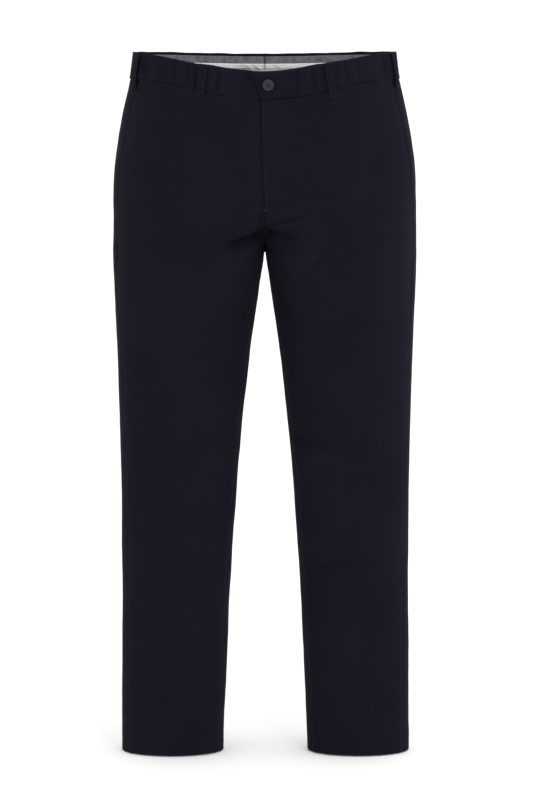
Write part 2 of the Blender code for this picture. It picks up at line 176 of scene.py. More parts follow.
# Main folds, the same as the solids'
MAIN_FOLDS = Fold.read(
    Face.FRONT, None,
    (-56, -271, -8, -258, 11, -6.0), (-66, -300, -20, -284, 14, 3.0), (6, -252, 40, -259, 11, -5.0),
    (18, -292, 60, -286, 14, 2.5), (64, -322, 94, -284, 14, -3.5), (18, -236, 44, -230, 9, -2.5),
    (-76, -330, -36, -326, 14, -2.5), (-130, -322, -92, -316, 16, 2.5),
    (-136, -426, -80, -402, 18, -2.5), (40, -566, 116, -596, 18, -4.0),
    (52, -604, 124, -630, 18, 2.5), (-184, -590, -112, -566, 20, -2.5),
    (70, -778, 112, -770, 16, -2.0), (-150, -800, -96, -816, 18, 1.5),
) + Fold.read(
    Face.BACK, None,
    (-84, -262, -8, -304, 17, -6.0), (-104, -292, -20, -338, 16, 3.5), (88, -258, 8, -300, 17, -5.5),
    (98, -296, 22, -332, 15, 3.0), (-186, -350, -70, -372, 20, -4.0), (66, -366, 178, -344, 19, -3.5),
    (-196, -560, -92, -578, 19, -4.5), (82, -570, 190, -556, 19, -4.5),
    (-180, -606, -98, -600, 18, 3.0), (96, -612, 176, -600, 17, 2.5),
    (-176, -792, -104, -780, 18, -2.5), (106, -770, 184, -782, 18, -2.5),
)

# Creases finer than the solids': at the crotch, down the legs, beside the fly, and at the back
CREASES = Fold.read(
    Face.FRONT, None,
    (-7, -255, -18, -261, -30, -265, -41, -269, 8.5, -7.5), (-24, -259, -38, -264, -52, -271, 4.5, -2.0),
    (5, -250, 14, -254, 25, -257, 33, -258, 7.5, -6.5), (-4, -222, -5, -240, -4, -258, 6.5, -3.0),
    (-2, -238, 0, -252, 15, -5.0), (12, -238, 26, -234, 42, -230, 58, -229, 2.6, -3.0),
    (-46, -282, -26, -275, -10, -271, 5.5, 2.6), (10, -268, 26, -272, 46, -274, 5.5, 2.6),
    (12, -228, 30, -226, 46, -222, 3.5, 0.8), (14, -245, 28, -245, 44, -243, 3.5, 1.2),
    (-44, -252, -18, -238, 5, 1.4), (-36, -234, -12, -228, 5, -0.9),
    (-118, -316, -86, -308, 5, -2.0), (-62, -326, -34, -324, 5, -2.0),
    (-76, -406, -52, -412, 5.5, -2.0), (-126, -424, -108, -446, 5, -1.8),
    (-122, -498, -112, -514, 5.5, -1.8), (66, -313, 90, -287, 4.5, -2.6),
    (98, -364, 124, -362, 5, -2.0), (46, -571, 84, -584, 124, -592, 5.5, -2.4),
    (130, -538, 176, -524, 10, 0.9), (78, -774, 98, -774, 5.5, -3.6), (140, -846, 180, -838, 10, -0.8),
    (-66, -352, -42, -350, 5, -1.6), (180, -512, 198, -522, 6, -2.2), (146, -834, 160, -836, 6, -1.6),
    (-108, -750, -100, -754, 6, -2.2), (-140, -892, -128, -896, 6, -2.0),
    (-190, -960, -150, -950, 11, 0.7), (96, -960, 140, -968, 10, -0.7),
    (-180, -120, -150, -170, 14, -0.9), (160, -96, 176, -170, 14, -0.8),
) + Fold.read(
    Face.FRONT, Half.RIGHT,
    (-5.2, -54, -3.0, -206, 2.8, -1.9), (-17, -130, -8, -206, 2.6, -1.0),
    (-13, -132, -6.5, -206, 1.8, 0.6), (-24, -150, -16, -208, 5, -0.7), (-20, -60, -14, -112, 7, -0.5),
) + Fold.read(
    Face.FRONT, Half.LEFT,
    (6, -118, 7, -206, 2.4, -0.6), (11, -128, 12, -204, 2.4, 0.5), (16, -150, 19, -206, 2.6, -0.6),
    (25, -172, 26, -210, 3, -0.8), (32, -160, 33, -206, 3, 0.6), (40, -138, 44, -196, 3.2, -0.8),
    (50, -150, 51, -194, 3, 0.5), (24, -66, 30, -104, 2.8, -0.6), (31, -62, 36, -104, 2.6, 0.5),
    (37, -66, 40, -98, 2.8, -0.6), (22, -50, 56, -47, 3.5, 0.8),
) + Fold.read(
    Face.BACK, None,
    (-72, -258, -10, -292, 6, -1.6), (-90, -300, -30, -330, 6, -1.2), (80, -258, 12, -290, 6, -1.6),
    (86, -312, 30, -340, 6, -1.1), (-60, -236, -14, -262, 7, 1.0), (56, -232, 14, -258, 7, 1.0),
    (-176, -366, -96, -384, 8, -1.2), (92, -384, 168, -364, 8, -1.2), (-150, -410, -84, -420, 9, 0.9),
    (-188, -566, -104, -582, 8, -1.5), (-176, -590, -128, -594, 7, -0.9),
    (94, -574, 184, -562, 8, -1.5), (110, -546, 160, -536, 8, 1.0), (-166, -640, -112, -632, 10, -0.9),
    (112, -650, 166, -640, 10, -0.9), (-168, -796, -112, -786, 8, -1.0),
    (118, -776, 176, -786, 8, -1.0), (-150, -930, -108, -938, 11, -0.8),
    (120, -920, 160, -930, 11, -0.8), (-88, -24, -86, -108, 2.6, -0.9), (88, -24, 86, -108, 2.6, -0.9),
    (-86, -112, -80, -150, 12, 1.0), (86, -112, 80, -150, 12, 1.0),
)

# Row of stitches round the fly, as (x, z) at the middle's own heights
FLY_LINE = (
    (57.0, -50.0), (57.2, -90.0), (57.4, -140.0), (57.0, -182.0), (55.0, -195.0), (48.5, -204.5),
    (38.0, -210.5), (24.0, -215.0), (7.0, -218.5),
)
# A panel's top runs up behind the waistband: rise over the band's seam, height off the surface
TOP_STEP = (
    (-9.0, 0.0), (-6.5, -0.02), (-4.5, -0.08), (-3.0, -0.22), (-2.0, -0.42), (-1.1, -0.72),
    (-0.3, -1.02), (0.6, -1.18), (3.0, -1.22), (7.0, -1.22),
)
# Rise of the band's top edge along the front, as (x, height)
TOP_LINE = np.array((
    (-190, 0.0), (-168, -2.4), (-140, -3.3), (-116, -3.2), (-104, -2.8), (-92, -1.4), (-80, 0.0),
    (-60, 0.2), (-43, 0.8), (-31, 1.2), (-19, 0.1), (0, 0.0), (29, 0.7), (53, 1.3), (77, 1.6),
    (89, 0.3), (101, 0.0), (114, -1.3), (126, -2.1), (150, -2.2), (190, 0.0),
)).T
# End of the left half over the right one, as (height, x)
TAB_END = np.array((
    (-20, -6.3), (-12, -7.4), (-4, -9.2), (2, -12.2), (7, -16.0), (14, -22.5), (20, -26.2), (22, -26.4),
)).T
# Upright gathers in the waistband, as (x, half width, height)
GATHERS = (
    (-180, 7, -1.5), (-166, 6, 0.6), (-152, 4, -0.5), (-143, 5, 0.8), (-135, 3, -1.2), (-124, 6, 0.8),
    (-114, 3, -1.3), (-108, 2.5, 1.0), (-103, 2.5, -1.3), (-82, 4, 0.6), (-69, 2.6, -1.7),
    (-62, 5, 0.6), (-44, 7, -0.4), (-30, 6, 0.4), (28, 6, 0.4), (41, 5, 0.6), (48, 2.6, -1.5),
    (56, 6, 0.6), (66, 4, 0.6), (73, 2.6, -1.5), (80, 4, 0.7), (86, 3, -0.6), (112, 5, 0.5),
    (121, 3, -0.9), (132, 6, 0.6), (141, 3, -1.0), (157, 7, 0.5), (182, 8, -1.5),
)
# Wrinkles in the linings at the back, and the painted shade lines between them
WRINKLES = Fold.read(
    Face.BACK, None,
    (-42, 3, -36, 6, -28, 4, 2.2, -0.9), (-38, -1, -28, 1, -20, -4, 2.2, -0.9),
    (-24, 4, -14, 2, -8, -3, 2.0, -0.8), (-14, 6, -4, 4, 2.0, -0.7),
)
CREVICE_SHADE = Fold.read(
    Face.BACK, None,
    (-40, 0.5, -34, 2.5, -27, 1.5, -22, -1.5, 1.0, 0.8), (-33, -2.5, -26, -1.5, -20, -5.0, 1.0, 0.8),
    (-20, 4.5, -15, 1.5, -11, -3.0, 1.0, 0.8), (-13, 0.5, -8, -4.0, 1.0, 0.8),
    (14, 3.5, 22, -1.0, 1.0, 0.8),
)


def ease(value: Array | float) -> Array:
    """Smooth step from 0 to 1."""
    value = np.clip(value, 0.0, 1.0)
    return value * value * (3 - 2 * value)


def near(distance: Array | float, width: float) -> Array:
    """1 at no distance, falling smoothly to nothing within a few widths."""
    return np.exp(-((distance / width) ** 2))


def lap(x: Array, full: Array | float, fade: Array | float) -> Array:
    """1 where one layer lies on another, falling to 0 at fade."""
    return 1 - ease((x - full) / (fade - full))


def rounding(distance: Array, radius: float, least: float) -> Array:
    """Share of a strip's thickness left at a distance from its rounded end."""
    return np.sqrt(np.maximum(1 - (1 - np.clip(distance / radius, 0.0, 1.0)) ** 2, least))


def floats(*values: Array | float) -> list[Array]:
    """Values as float arrays of one shape."""
    return list(np.broadcast_arrays(*(np.asarray(value, dtype=float) for value in values)))


def off_line(x: Array, z: Array, line: Points) -> tuple[Array, Array]:
    """Places of points beside a line.

    Args:
        x: the points' x.
        z: their z.
        line: (x, z) points of the line.

    Returns:
        Distances from the line, and how far along it they lie.
    """
    off, along, done = np.full(x.shape, 1e3), np.zeros(x.shape), 0.0
    for start, end in zip(line, line[1:]):
        run = np.subtract(end, start)
        length = float(np.hypot(*run))
        share = np.clip(((x - start[0]) * run[0] + (z - start[1]) * run[1]) / length**2, 0.0, 1.0)
        distance = np.hypot(x - start[0] - run[0] * share, z - start[1] - run[1] * share)
        along = np.where(distance < off, done + share * length, along)
        off = np.minimum(off, distance)
        done += length
    return off, along


def total_height(folds: Sequence[Fold], x: Array, z: Array) -> Array:
    """Height that folds give points, all together."""
    return sum(fold.height * near(off_line(x, z, fold.line)[0], fold.width) for fold in folds)


def curve_through(points: Points, step: float) -> Array:
    """Smooth even path through (x, z) points.

    Args:
        points: the points.
        step: spacing of the result.

    Returns:
        The path's points.
    """
    knots = np.array(points, dtype=float)
    ends = np.vstack([2 * knots[0] - knots[1], knots, 2 * knots[-1] - knots[-2]])
    t = np.linspace(0, 1, CURVE_STEPS, endpoint=False)[:, None]
    path = np.vstack([
        0.5 * (2 * b + (c - a) * t + (2 * a - 5 * b + 4 * c - d) * t**2 + (3 * b - a - 3 * c + d) * t**3)
        for a, b, c, d in zip(ends, ends[1:], ends[2:], ends[3:])
    ] + [knots[-1:]])
    lengths = np.concatenate([[0.0], np.cumsum(np.linalg.norm(np.diff(path, axis=0), axis=1))])
    spots = np.linspace(0, lengths[-1], max(2, round(lengths[-1] / step) + 1))
    return np.stack([np.interp(spots, lengths, path[:, i]) for i in (0, 1)], axis=1)


class Figure:
    """The surface that every piece is cut from, as the solids have it.

    A point has an angle, 0 at the side, positive to the front and pi at the inner edge, and a
    height, which is measured at the side because the waist dips towards the middle.  x is the
    distance from the garment's middle towards the half's own side.
    """

    def __init__(self, sections: Sequence[Section], folds: Sequence[Fold]) -> None:
        """Sets up smooth curves through the sections.

        Args:
            sections: outline of one half, from the top down.
            folds: troughs and ridges over it.
        """
        rows = sorted(sections, key=lambda row: row.z)
        order = np.arange(len(rows))
        low, high = np.maximum(order - 1, 0), np.minimum(order + 1, len(rows) - 1)
        self.folds = folds
        self.heights = np.array([row.z for row in rows])
        self.values, self.slopes = {}, {}
        for name in ("half_width", "inner", "front", "back", "seam"):
            column = np.array([getattr(row, name) for row in rows], dtype=float)
            self.values[name] = column
            self.slopes[name] = (column[high] - column[low]) / (self.heights[high] - self.heights[low])

    def section(self, name: str, z: Array | float) -> Array:
        """One column of the sections at heights z.

        Args:
            name: the column.
            z: heights.

        Returns:
            The smooth curve's values.
        """
        z = np.clip(z, self.heights[0], self.heights[-1])
        row = np.clip(np.searchsorted(self.heights, z, side="right") - 1, 0, len(self.heights) - 2)
        span = self.heights[row + 1] - self.heights[row]
        u = (z - self.heights[row]) / span
        rise = 3 * u**2 - 2 * u**3
        values, slopes = self.values[name], self.slopes[name]
        level = (1 - rise) * values[row] + rise * values[row + 1]
        return level + span * ((u**3 - 2 * u**2 + u) * slopes[row] + (u**3 - u**2) * slopes[row + 1])

    def oval(self, z: Array) -> tuple[Array, Array, Array, Array]:
        """One half's section at heights z.

        Args:
            z: heights.

        Returns:
            Its middle, its reach outwards and inwards, and the inner part's roundness.
        """
        side = self.section("half_width", z)
        inner = np.maximum(self.section("inner", z), HALF_GAP)
        leg = z < CROTCH_Z
        down = ease((BAND_BOTTOM_Z - z) / (BAND_BOTTOM_Z - CROTCH_Z))
        share = WAIST_FLAT + (LEG_MIDDLE - WAIST_FLAT) * down
        middle = np.where(leg, side + (inner - side) * LEG_MIDDLE, side * share)
        inwards = middle - np.where(leg, inner, HALF_GAP)
        roundness = np.where(leg, 1.0, 1 - ease((z - CROTCH_Z) / (RISE_TOP_Z - CROTCH_Z)))
        return middle, side - middle, inwards, roundness

    def angle_at(self, x: Array | float, z: Array | float) -> Array:
        """Angle at which the front stands x from the garment's middle, above the crotch.

        Args:
            x: distances from the middle, negative past it.
            z: heights.

        Returns:
            The angles, over pi past the middle.
        """
        x, z = floats(x, z)
        middle, outwards, inwards, _ = self.oval(z)
        share = np.clip((x - middle) / np.where(x > middle, outwards, inwards), -1.0, 1.0)
        return np.where(x < HALF_GAP, np.pi + (HALF_GAP - x) / PAST_MIDDLE, np.arccos(share))

    @staticmethod
    def is_front(angle: Array, z: Array) -> Array:
        """Whether an angle lies on the front; on a leg, past half a turn back is the front again."""
        return (angle >= 0) | ((angle < -np.pi) & (z < CROTCH_Z))

    def base(self, angle: Array, z: Array) -> Array:
        """Points of the plain oval.

        Args:
            angle: angles on the surface.
            z: heights.

        Returns:
            The points, with x towards the half's side.
        """
        angle, z = floats(angle, z)
        middle, outwards, inwards, roundness = self.oval(z)
        past = (np.abs(angle) > np.pi) & (z >= CROTCH_Z)
        past_x = HALF_GAP - (np.abs(angle) - np.pi) * PAST_MIDDLE
        turn = np.cos(angle)
        x = np.where(past, past_x, middle + np.where(turn > 0, outwards, inwards) * turn)
        turn = np.where(past, np.maximum((np.abs(past_x) - middle) / inwards, -1.0), turn)
        ratio = np.where(turn > 0, turn, turn * roundness)
        depth = np.sqrt(np.maximum(1 - ratio**2, 0.0))
        front = self.is_front(angle, z)
        full = 1 + THIGH_FULLNESS * ratio**2 * ease((z - THIGH_FULL_END_Z) / THIGH_FULL_FADE)
        depth = np.where(front & (turn < 0), depth * full, depth)
        y = np.where(front, -self.section("front", z), self.section("back", z)) * depth
        return np.stack([x, y, z], axis=-1)

    def outward(self, angle: Array, z: Array) -> Array:
        """Unit normals of the plain oval.

        Args:
            angle: angles on the surface.
            z: heights.

        Returns:
            The normals, kept in the middle's plane along the middle.
        """
        angle, z = floats(angle, z)
        step_angle, step_z, close = 0.004, 1.0, 0.02
        across = self.base(angle + step_angle, z) - self.base(angle - step_angle, z)
        up = self.base(angle, z + step_z) - self.base(angle, z - step_z)
        facing = np.where(self.is_front(angle, z), -1.0, 1.0)
        level = np.stack([np.zeros_like(facing), facing * up[..., 2], -facing * up[..., 1]], axis=-1)
        on_middle = (z >= CROTCH_Z) & (np.abs(self.base(angle, z)[..., 0]) < HALF_GAP + close)
        normal = np.where(on_middle[..., None], level, np.cross(up, across))
        at_crotch = on_middle & (z < CROTCH_Z + step_z)
        normal = np.where(at_crotch[..., None], np.array([0.0, 0.0, -1.0]), normal)
        return normal / np.linalg.norm(normal, axis=-1, keepdims=True)

    def fold_height(self, half: Half, x: Array, z: Array, angle: Array) -> Array:
        """Height of the folds, none along the silhouette at the side and inner leg.

        Args:
            half: the half.
            x: the points' x, towards the wearer's left.
            z: their heights.
            angle: their angles.

        Returns:
            Heights over the plain oval.
        """
        front = self.is_front(angle, z)
        turn = np.abs(np.sin(angle))
        turn = np.where(np.cos(angle) < 0, np.maximum(turn, ease((z - CROTCH_Z) / FOLD_FADE)), turn)
        own = [fold for fold in self.folds if fold.half in (None, half)]
        by_face = {face: [fold for fold in own if fold.face is face] for face in Face}
        total = np.where(
            front, total_height(by_face[Face.FRONT], x, z), total_height(by_face[Face.BACK], x, z)
        )
        return total * ease(turn * FOLD_EDGE)

    def dip(self, x: Array, front: Array | bool) -> Array:
        """How far the waist drops at x from the middle."""
        reach = np.minimum(np.abs(x) / self.section("half_width", 0.0), 1.0)
        return np.where(front, FRONT_DIP, BACK_DIP) * np.cos(reach * np.pi / 2) ** 2

    @staticmethod
    def dip_share(height: Array) -> Array:
        """How much of the waist's drop reaches a height."""
        return ease((height - DIP_START_Z) / (BAND_BOTTOM_Z - DIP_START_Z))

    def dipped(self, height: Array, face: Face) -> Array:
        """Height of the cloth at the garment's middle, for a height at its side."""
        return height - (FRONT_DIP if face is Face.FRONT else BACK_DIP) * self.dip_share(height)

    def skin(self, half: Half, angle: Array, height: Array, out: Array | float = 0.0) -> Array:
        """Points of the cloth on one half.

        Args:
            half: the half.
            angle: angles on the surface.
            height: heights, measured at the side.
            out: how far the points stand off the surface.

        Returns:
            Points in the garment's frame.
        """
        angle, height = floats(angle, height)
        drop = self.dip(self.base(angle, height)[..., 0], self.is_front(angle, height))
        z = height - drop * self.dip_share(height)
        point, normal = self.base(angle, z), self.outward(angle, z)
        level = normal * np.array([1.0, 1.0, FOLD_LEVEL])
        fold = self.fold_height(half, half.value * point[..., 0], z, angle)
        point = point + normal * np.broadcast_to(out, fold.shape)[..., None] + level * fold[..., None]
        return point * np.array([half.value, 1.0, 1.0])

    def path(self, half: Half, angle: Array, height: Array, out: Array | float) -> Run:
        """Points and outward directions of a path on one half's cloth, for sewing."""
        points = self.skin(half, angle, height, out)
        return points, self.skin(half, angle, height, out + 1.0) - points

    def height_of(self, x: float, z: float, face: Face) -> float:
        """Height at the side of the cloth that lies at x and z.

        Args:
            x: distance from the garment's middle.
            z: the point's own height.
            face: front or back.

        Returns:
            The height measured at the side.
        """
        low, high = z, z + FRONT_DIP
        for _ in range(SEEK_STEPS):
            guess = (low + high) / 2
            if guess - float(self.dip(x, face is Face.FRONT)) * float(self.dip_share(guess)) < z:
                low = guess
            else:
                high = guess
        return (low + high) / 2

    def side_seam(self, z: Array) -> Array:
        """Angle of the side seam, a little before the widest line."""
        return np.arcsin(self.section("seam", z) / self.section("front", z))

    def inseam(self, z: Array) -> Array:
        """Angle of the inseam on a leg's inner edge, a little to the front lower down."""
        forward = INSEAM_FORWARD * ease((CROTCH_Z - z) / INSEAM_SETTLE)
        return np.pi - np.arcsin(forward / self.section("front", z))

    def beside(self, angle: Array, z: Array, distance: Array | float) -> Array:
        """Angle a small distance along the cloth from another one."""
        reach = np.linalg.norm(self.base(angle + SIDE_STEP, z) - self.base(angle - SIDE_STEP, z), axis=-1)
        return angle + distance * 2 * SIDE_STEP / reach

    @staticmethod
    def slant(height: Array) -> Array:
        """Distance of the pocket's edge in front of the side seam."""
        share = (height - POCKET_BOTTOM_Z) / (BAND_BOTTOM_Z - POCKET_BOTTOM_Z)
        return POCKET_SLANT * np.maximum(share, 0.0)

    def pocket_edge(self, height: Array) -> Array:
        """Angle of the front's edge at the pocket."""
        return self.beside(self.side_seam(height), height, self.slant(height))

    def fly_reach(self, half: Half, height: Array) -> Array:
        """Where a front ends: the left one laps past the middle, the right one below that.

        Args:
            half: the half.
            height: heights.

        Returns:
            x of the ends.
        """
        z = self.dipped(height, Face.FRONT)
        run = (z - FLY_END_Z) / (BAND_BOTTOM_Z - FRONT_DIP - FLY_END_Z)
        over = FLY_LAP_BOTTOM + (FLY_LAP_TOP - FLY_LAP_BOTTOM) * run
        reach = over if half is Half.LEFT else FLY_TUCK - over
        return HALF_GAP - (reach + HALF_GAP) * ease((z - FLY_OPEN_Z) / FLY_FADE)

    def fly_lift(self, half: Half, x: Array, height: Array) -> Array:
        """How far a front stands off the surface beside the fly.

        Args:
            half: the half.
            x: distances from the middle.
            height: heights.

        Returns:
            Heights off the surface, below it on the right half.
        """
        closed = ease((self.dipped(height, Face.FRONT) - FLY_END_Z) / FLY_FADE)
        edge = self.fly_reach(half, height)
        return half.value * FLY_LIFT * closed * lap(x, edge + FLY_FLAT, edge + FLY_BLEND)

    @staticmethod
    def band_lift(half: Half, x: Array, front: Array) -> Array:
        """How far the waistband's end stands off the surface at the lap."""
        flat = LAP_TUCK + LAP_MARGIN_LEFT if half is Half.LEFT else LAP_END_TOP + LAP_MARGIN_RIGHT
        return np.where(front, half.value * LAP_LIFT * lap(x, flat, flat + LAP_TUCK), 0.0)

    def course(self, start: Array, end: Array, z: Array) -> tuple[Array, Array]:
        """Ways along the surface from one angle to another, one for each row.

        Args:
            start: each row's first angle.
            end: its last angle.
            z: its height.

        Returns:
            Lengths along each row, and the angles there.
        """
        angles = start[:, None] + (end - start)[:, None] * np.linspace(0.0, 1.0, SAMPLES)
        steps = np.linalg.norm(np.diff(self.base(angles, z[:, None]), axis=1), axis=-1)
        return np.concatenate([np.zeros((len(z), 1)), np.cumsum(steps, axis=1)], axis=1), angles


def angles_along(along: Array, lengths: Array, angles: Array) -> Array:
    """Angles at distances along the rows of a course."""
    return np.stack([np.interp(*row) for row in zip(along, lengths, angles)])


class Rumple:
    """Small unevenness of hanging cloth: seeded plane waves over its flat coordinates."""

    def __init__(self, seed: int, *waves: tuple[int, float, float, float]) -> None:
        """Draws the waves.

        Args:
            seed: start of the random draws.
            waves: groups of (count, shortest, longest wavelength, height in all).
        """
        chance = np.random.default_rng(seed)
        self.waves = []
        for count, shortest, longest, height in waves:
            for _ in range(count):
                turn = chance.uniform(0, np.pi)
                number = 2 * np.pi / chance.uniform(shortest, longest)
                phase = chance.uniform(0, 2 * np.pi)
                self.waves.append((number * np.cos(turn), number * np.sin(turn), phase, height / count))

    def __call__(self, u: Array, v: Array) -> Array:
        """Height of the cloth at flat coordinates in millimetres."""
        return sum(height * np.sin(a * u + b * v + phase) for a, b, phase, height in self.waves)


FIGURE = Figure(SECTIONS, MAIN_FOLDS + CREASES)


# ---- Meshes ----


def link(name: str, data: bpy.types.ID) -> bpy.types.Object:
    """New object in the scene.

    Args:
        name: its name.
        data: its mesh, light or camera.

    Returns:
        The object.
    """
    made = bpy.data.objects.new(name, data)
    bpy.context.scene.collection.objects.link(made)
    return made


def finished(blank: bpy.types.Object) -> bpy.types.Mesh:
    """Plain mesh of an object with its modifiers applied; the object goes.

    Args:
        blank: the object.

    Returns:
        The mesh.
    """
    mesh = bpy.data.meshes.new_from_object(blank.evaluated_get(bpy.context.evaluated_depsgraph_get()))
    bpy.data.objects.remove(blank)
    return mesh


def weave(
    name: str, points: Array, flat: Array, masks: dict[str, Array], finish: bpy.types.Material,
    wrap: bool = False, flip: bool = False,
) -> bpy.types.Object:
    """Piece of cloth over a grid of points.

    Args:
        name: the node that it replaces.
        points: rows, columns and xyz in millimetres.
        flat: the cloth's flat coordinates there in millimetres, with one more column where it wraps.
        masks: values from 0 to 1 at the points: rubbed wear with a painted edge highlight, and painted shade
            in creases and along seams.
        finish: its material.
        wrap: whether each row is a closed ring and the end rings are capped; the rest get a wall.
        flip: whether the faces of an open grid turn the other way.

    Returns:
        The piece.
    """
    rows, columns = points.shape[:2]
    r, c = np.meshgrid(np.arange(rows - 1), np.arange(columns if wrap else columns - 1), indexing="ij")
    corners = [(r, c), (r, c + 1), (r + 1, c + 1), (r + 1, c)]
    if flip:
        corners.reverse()
    faces = np.stack([i * columns + j % columns for i, j in corners], axis=-1).reshape(-1, 4).tolist()
    spots = [np.stack([flat[i, j] for i, j in corners], axis=2).reshape(-1, 2)]
    if wrap:
        last = (rows - 1) * columns
        faces += [list(range(columns))[::-1], list(range(last, last + columns))]
        spots += [flat[0, :columns][::-1], flat[-1, :columns]]
    mesh = bpy.data.meshes.new(name)
    mesh.from_pydata((points.reshape(-1, 3) * MM).tolist(), [], faces)
    layer = mesh.uv_layers.new(name=FLAT_UV)
    layer.data.foreach_set("uv", (np.concatenate(spots) * MM).astype(np.float32).ravel())
    if wrap:
        shape = bmesh.new()
        shape.from_mesh(mesh)
        close_shape(shape, mesh)
    mesh.shade_smooth()
    for mask, values in masks.items():
        layer = mesh.attributes.new(mask, "FLOAT", "POINT")
        layer.data.foreach_set("value", np.clip(values, 0.0, 1.0).astype(np.float32).ravel())
    piece = add_piece(f"{name}_cloth", mesh, finish, name)
    if not wrap:
        wall = piece.modifiers.new("cloth", "SOLIDIFY")
        wall.thickness = CLOTH_WALL * MM
        wall.offset = -1.0
    return piece


def close_shape(shape: bmesh.types.BMesh, mesh: bpy.types.Mesh) -> None:
    """Turns a closed shape's faces outwards and writes it to a mesh.

    Args:
        shape: the shape, which is freed.
        mesh: the mesh.
    """
    bmesh.ops.recalc_face_normals(shape, faces=shape.faces)
    shape.to_mesh(mesh)
    shape.free()


def turns(count: int) -> list[float]:
    """Angles of even steps round a circle."""
    return [2 * math.pi * i / count for i in range(count)]


def circle(middle: Vector, across: Vector, up: Vector, radius: float, count: int) -> list[Vector]:
    """Points of a circle round its middle."""
    return [middle + (across * math.cos(turn) + up * math.sin(turn)) * radius for turn in turns(count)]


def ring_mesh(name: str, rings: Sequence[Sequence[Vector]]) -> bpy.types.Mesh:
    """Closed mesh over rings of points.

    Args:
        name: the mesh's name.
        rings: points of each ring, where a ring of one point is a pole.

    Returns:
        The mesh.
    """
    shape = bmesh.new()
    loops = [[shape.verts.new(point) for point in ring] for ring in rings]
    for low, high in zip(loops, loops[1:]):
        for i in range(max(len(low), len(high))):
            j = i + 1
            face = low[i % len(low)], low[j % len(low)], high[j % len(high)], high[i % len(high)]
            shape.faces.new(list(dict.fromkeys(face)))
    for loop in (loops[0][::-1], loops[-1]):
        if len(loop) > 1:
            shape.faces.new(loop)
    mesh = bpy.data.meshes.new(name)
    close_shape(shape, mesh)
    return mesh


def tube(name: str, path: Sequence[Vector], radius: float, sides: int) -> bpy.types.Mesh:
    """Closed round tube.

    Args:
        name: the mesh's name.
        path: its centre line in metres.
        radius: its radius in millimetres.
        sides: sides of its section.

    Returns:
        The tube's mesh.
    """
    rings, side = [], None
    for i, point in enumerate(path):
        run = (path[min(i + 1, len(path) - 1)] - path[max(i - 1, 0)]).normalized()
        side = (run.orthogonal() if side is None else side - run * side.dot(run)).normalized()
        rings.append(circle(point, side, run.cross(side), radius * MM, sides))
    return ring_mesh(name, rings)


def rounded(low: float, high: float, outer: float, inner: float, step: float, corner: float) -> Array:
    """Closed section of a flat strip with rounded edges.

    Args:
        low: height of its lower edge.
        high: height of its upper edge.
        outer: how far its outer face stands off the surface.
        inner: the same for its inner face.
        step: spacing of points on its faces.
        corner: radius of the corners along the height.

    Returns:
        (height, out) pairs, up the outer face and down the inner one.
    """
    middle, half = (outer + inner) / 2, (outer - inner) / 2
    low, high = low + corner, high - corner
    straight = np.linspace(low, high, max(2, round((high - low) / step)) + 1)
    turns = np.radians(np.arange(18, 163, 18))
    over, under = high + corner * np.sin(turns), low - corner * np.sin(turns)
    height = np.concatenate([straight, over, straight[::-1], under])
    way = np.concatenate([np.full(len(straight), half), half * np.cos(turns)])
    return np.stack([height, middle + np.concatenate([way, -way])], axis=1)


def add_piece(name: str, mesh: bpy.types.Mesh, finish: bpy.types.Material, *nodes: str) -> bpy.types.Object:
    """Puts a mesh in the scene as one piece of the garment.

    Args:
        name: the piece's name.
        mesh: its mesh, in its place.
        finish: its material.
        nodes: the nodes that it replaces.

    Returns:
        The new object.
    """
    mesh.materials.clear()
    mesh.materials.append(finish)
    piece = link(name, mesh)
    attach(piece, BODY)
    SLOTS[finish.name]
    if nodes:
        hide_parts(*nodes)
    LOG.info("%s: %d faces", name, len(mesh.polygons))
    return piece


# ---- Finishes ----


class Nodes:
    """Short ways to add nodes to a tree."""

    def __init__(self, tree: bpy.types.NodeTree) -> None:
        """Takes the tree."""
        self.tree = tree

    def feed(self, node: bpy.types.Node, inputs: dict[str | int, object]) -> None:
        """Gives a node's inputs their values.

        Args:
            node: the node.
            inputs: values or output sockets, by the input's name or number.
        """
        for key, value in inputs.items():
            socket = node.inputs[key]
            if isinstance(value, bpy.types.NodeSocket):
                self.tree.links.new(value, socket)
            else:
                socket.default_value = (*value, 1.0) if socket.type == "RGBA" else value

    def put(
        self, kind: str, inputs: dict[str | int, object] | None = None, **settings: object
    ) -> bpy.types.Node:
        """Adds a node.

        Args:
            kind: the node's type.
            inputs: values or output sockets, by the input's name or number.
            settings: the node's own properties.

        Returns:
            The node.
        """
        node = self.tree.nodes.new(kind)
        for name, value in settings.items():
            setattr(node, name, value)
        self.feed(node, inputs or {})
        return node

    def maths(self, operation: str, *values: object) -> bpy.types.NodeSocket:
        """Output of a Math node on values or sockets."""
        return self.put("ShaderNodeMath", dict(enumerate(values)), operation=operation).outputs[0]

    def blend(self, share: object, low: object, high: object) -> bpy.types.NodeSocket:
        """Output of a colour Mix node."""
        return self.put("ShaderNodeMix", {0: share, 6: low, 7: high}, data_type="RGBA").outputs[2]

    def mask(self, name: str) -> bpy.types.NodeSocket:
        """Values that a mesh carries under a name."""
        return self.put("ShaderNodeAttribute", attribute_name=name).outputs["Fac"]

    def group(self, tree: bpy.types.NodeTree, **inputs: object) -> bpy.types.bpy_prop_collection:
        """Outputs of a shared group, fed by the names of its inputs."""
        return self.put("ShaderNodeGroup", inputs, node_tree=tree).outputs


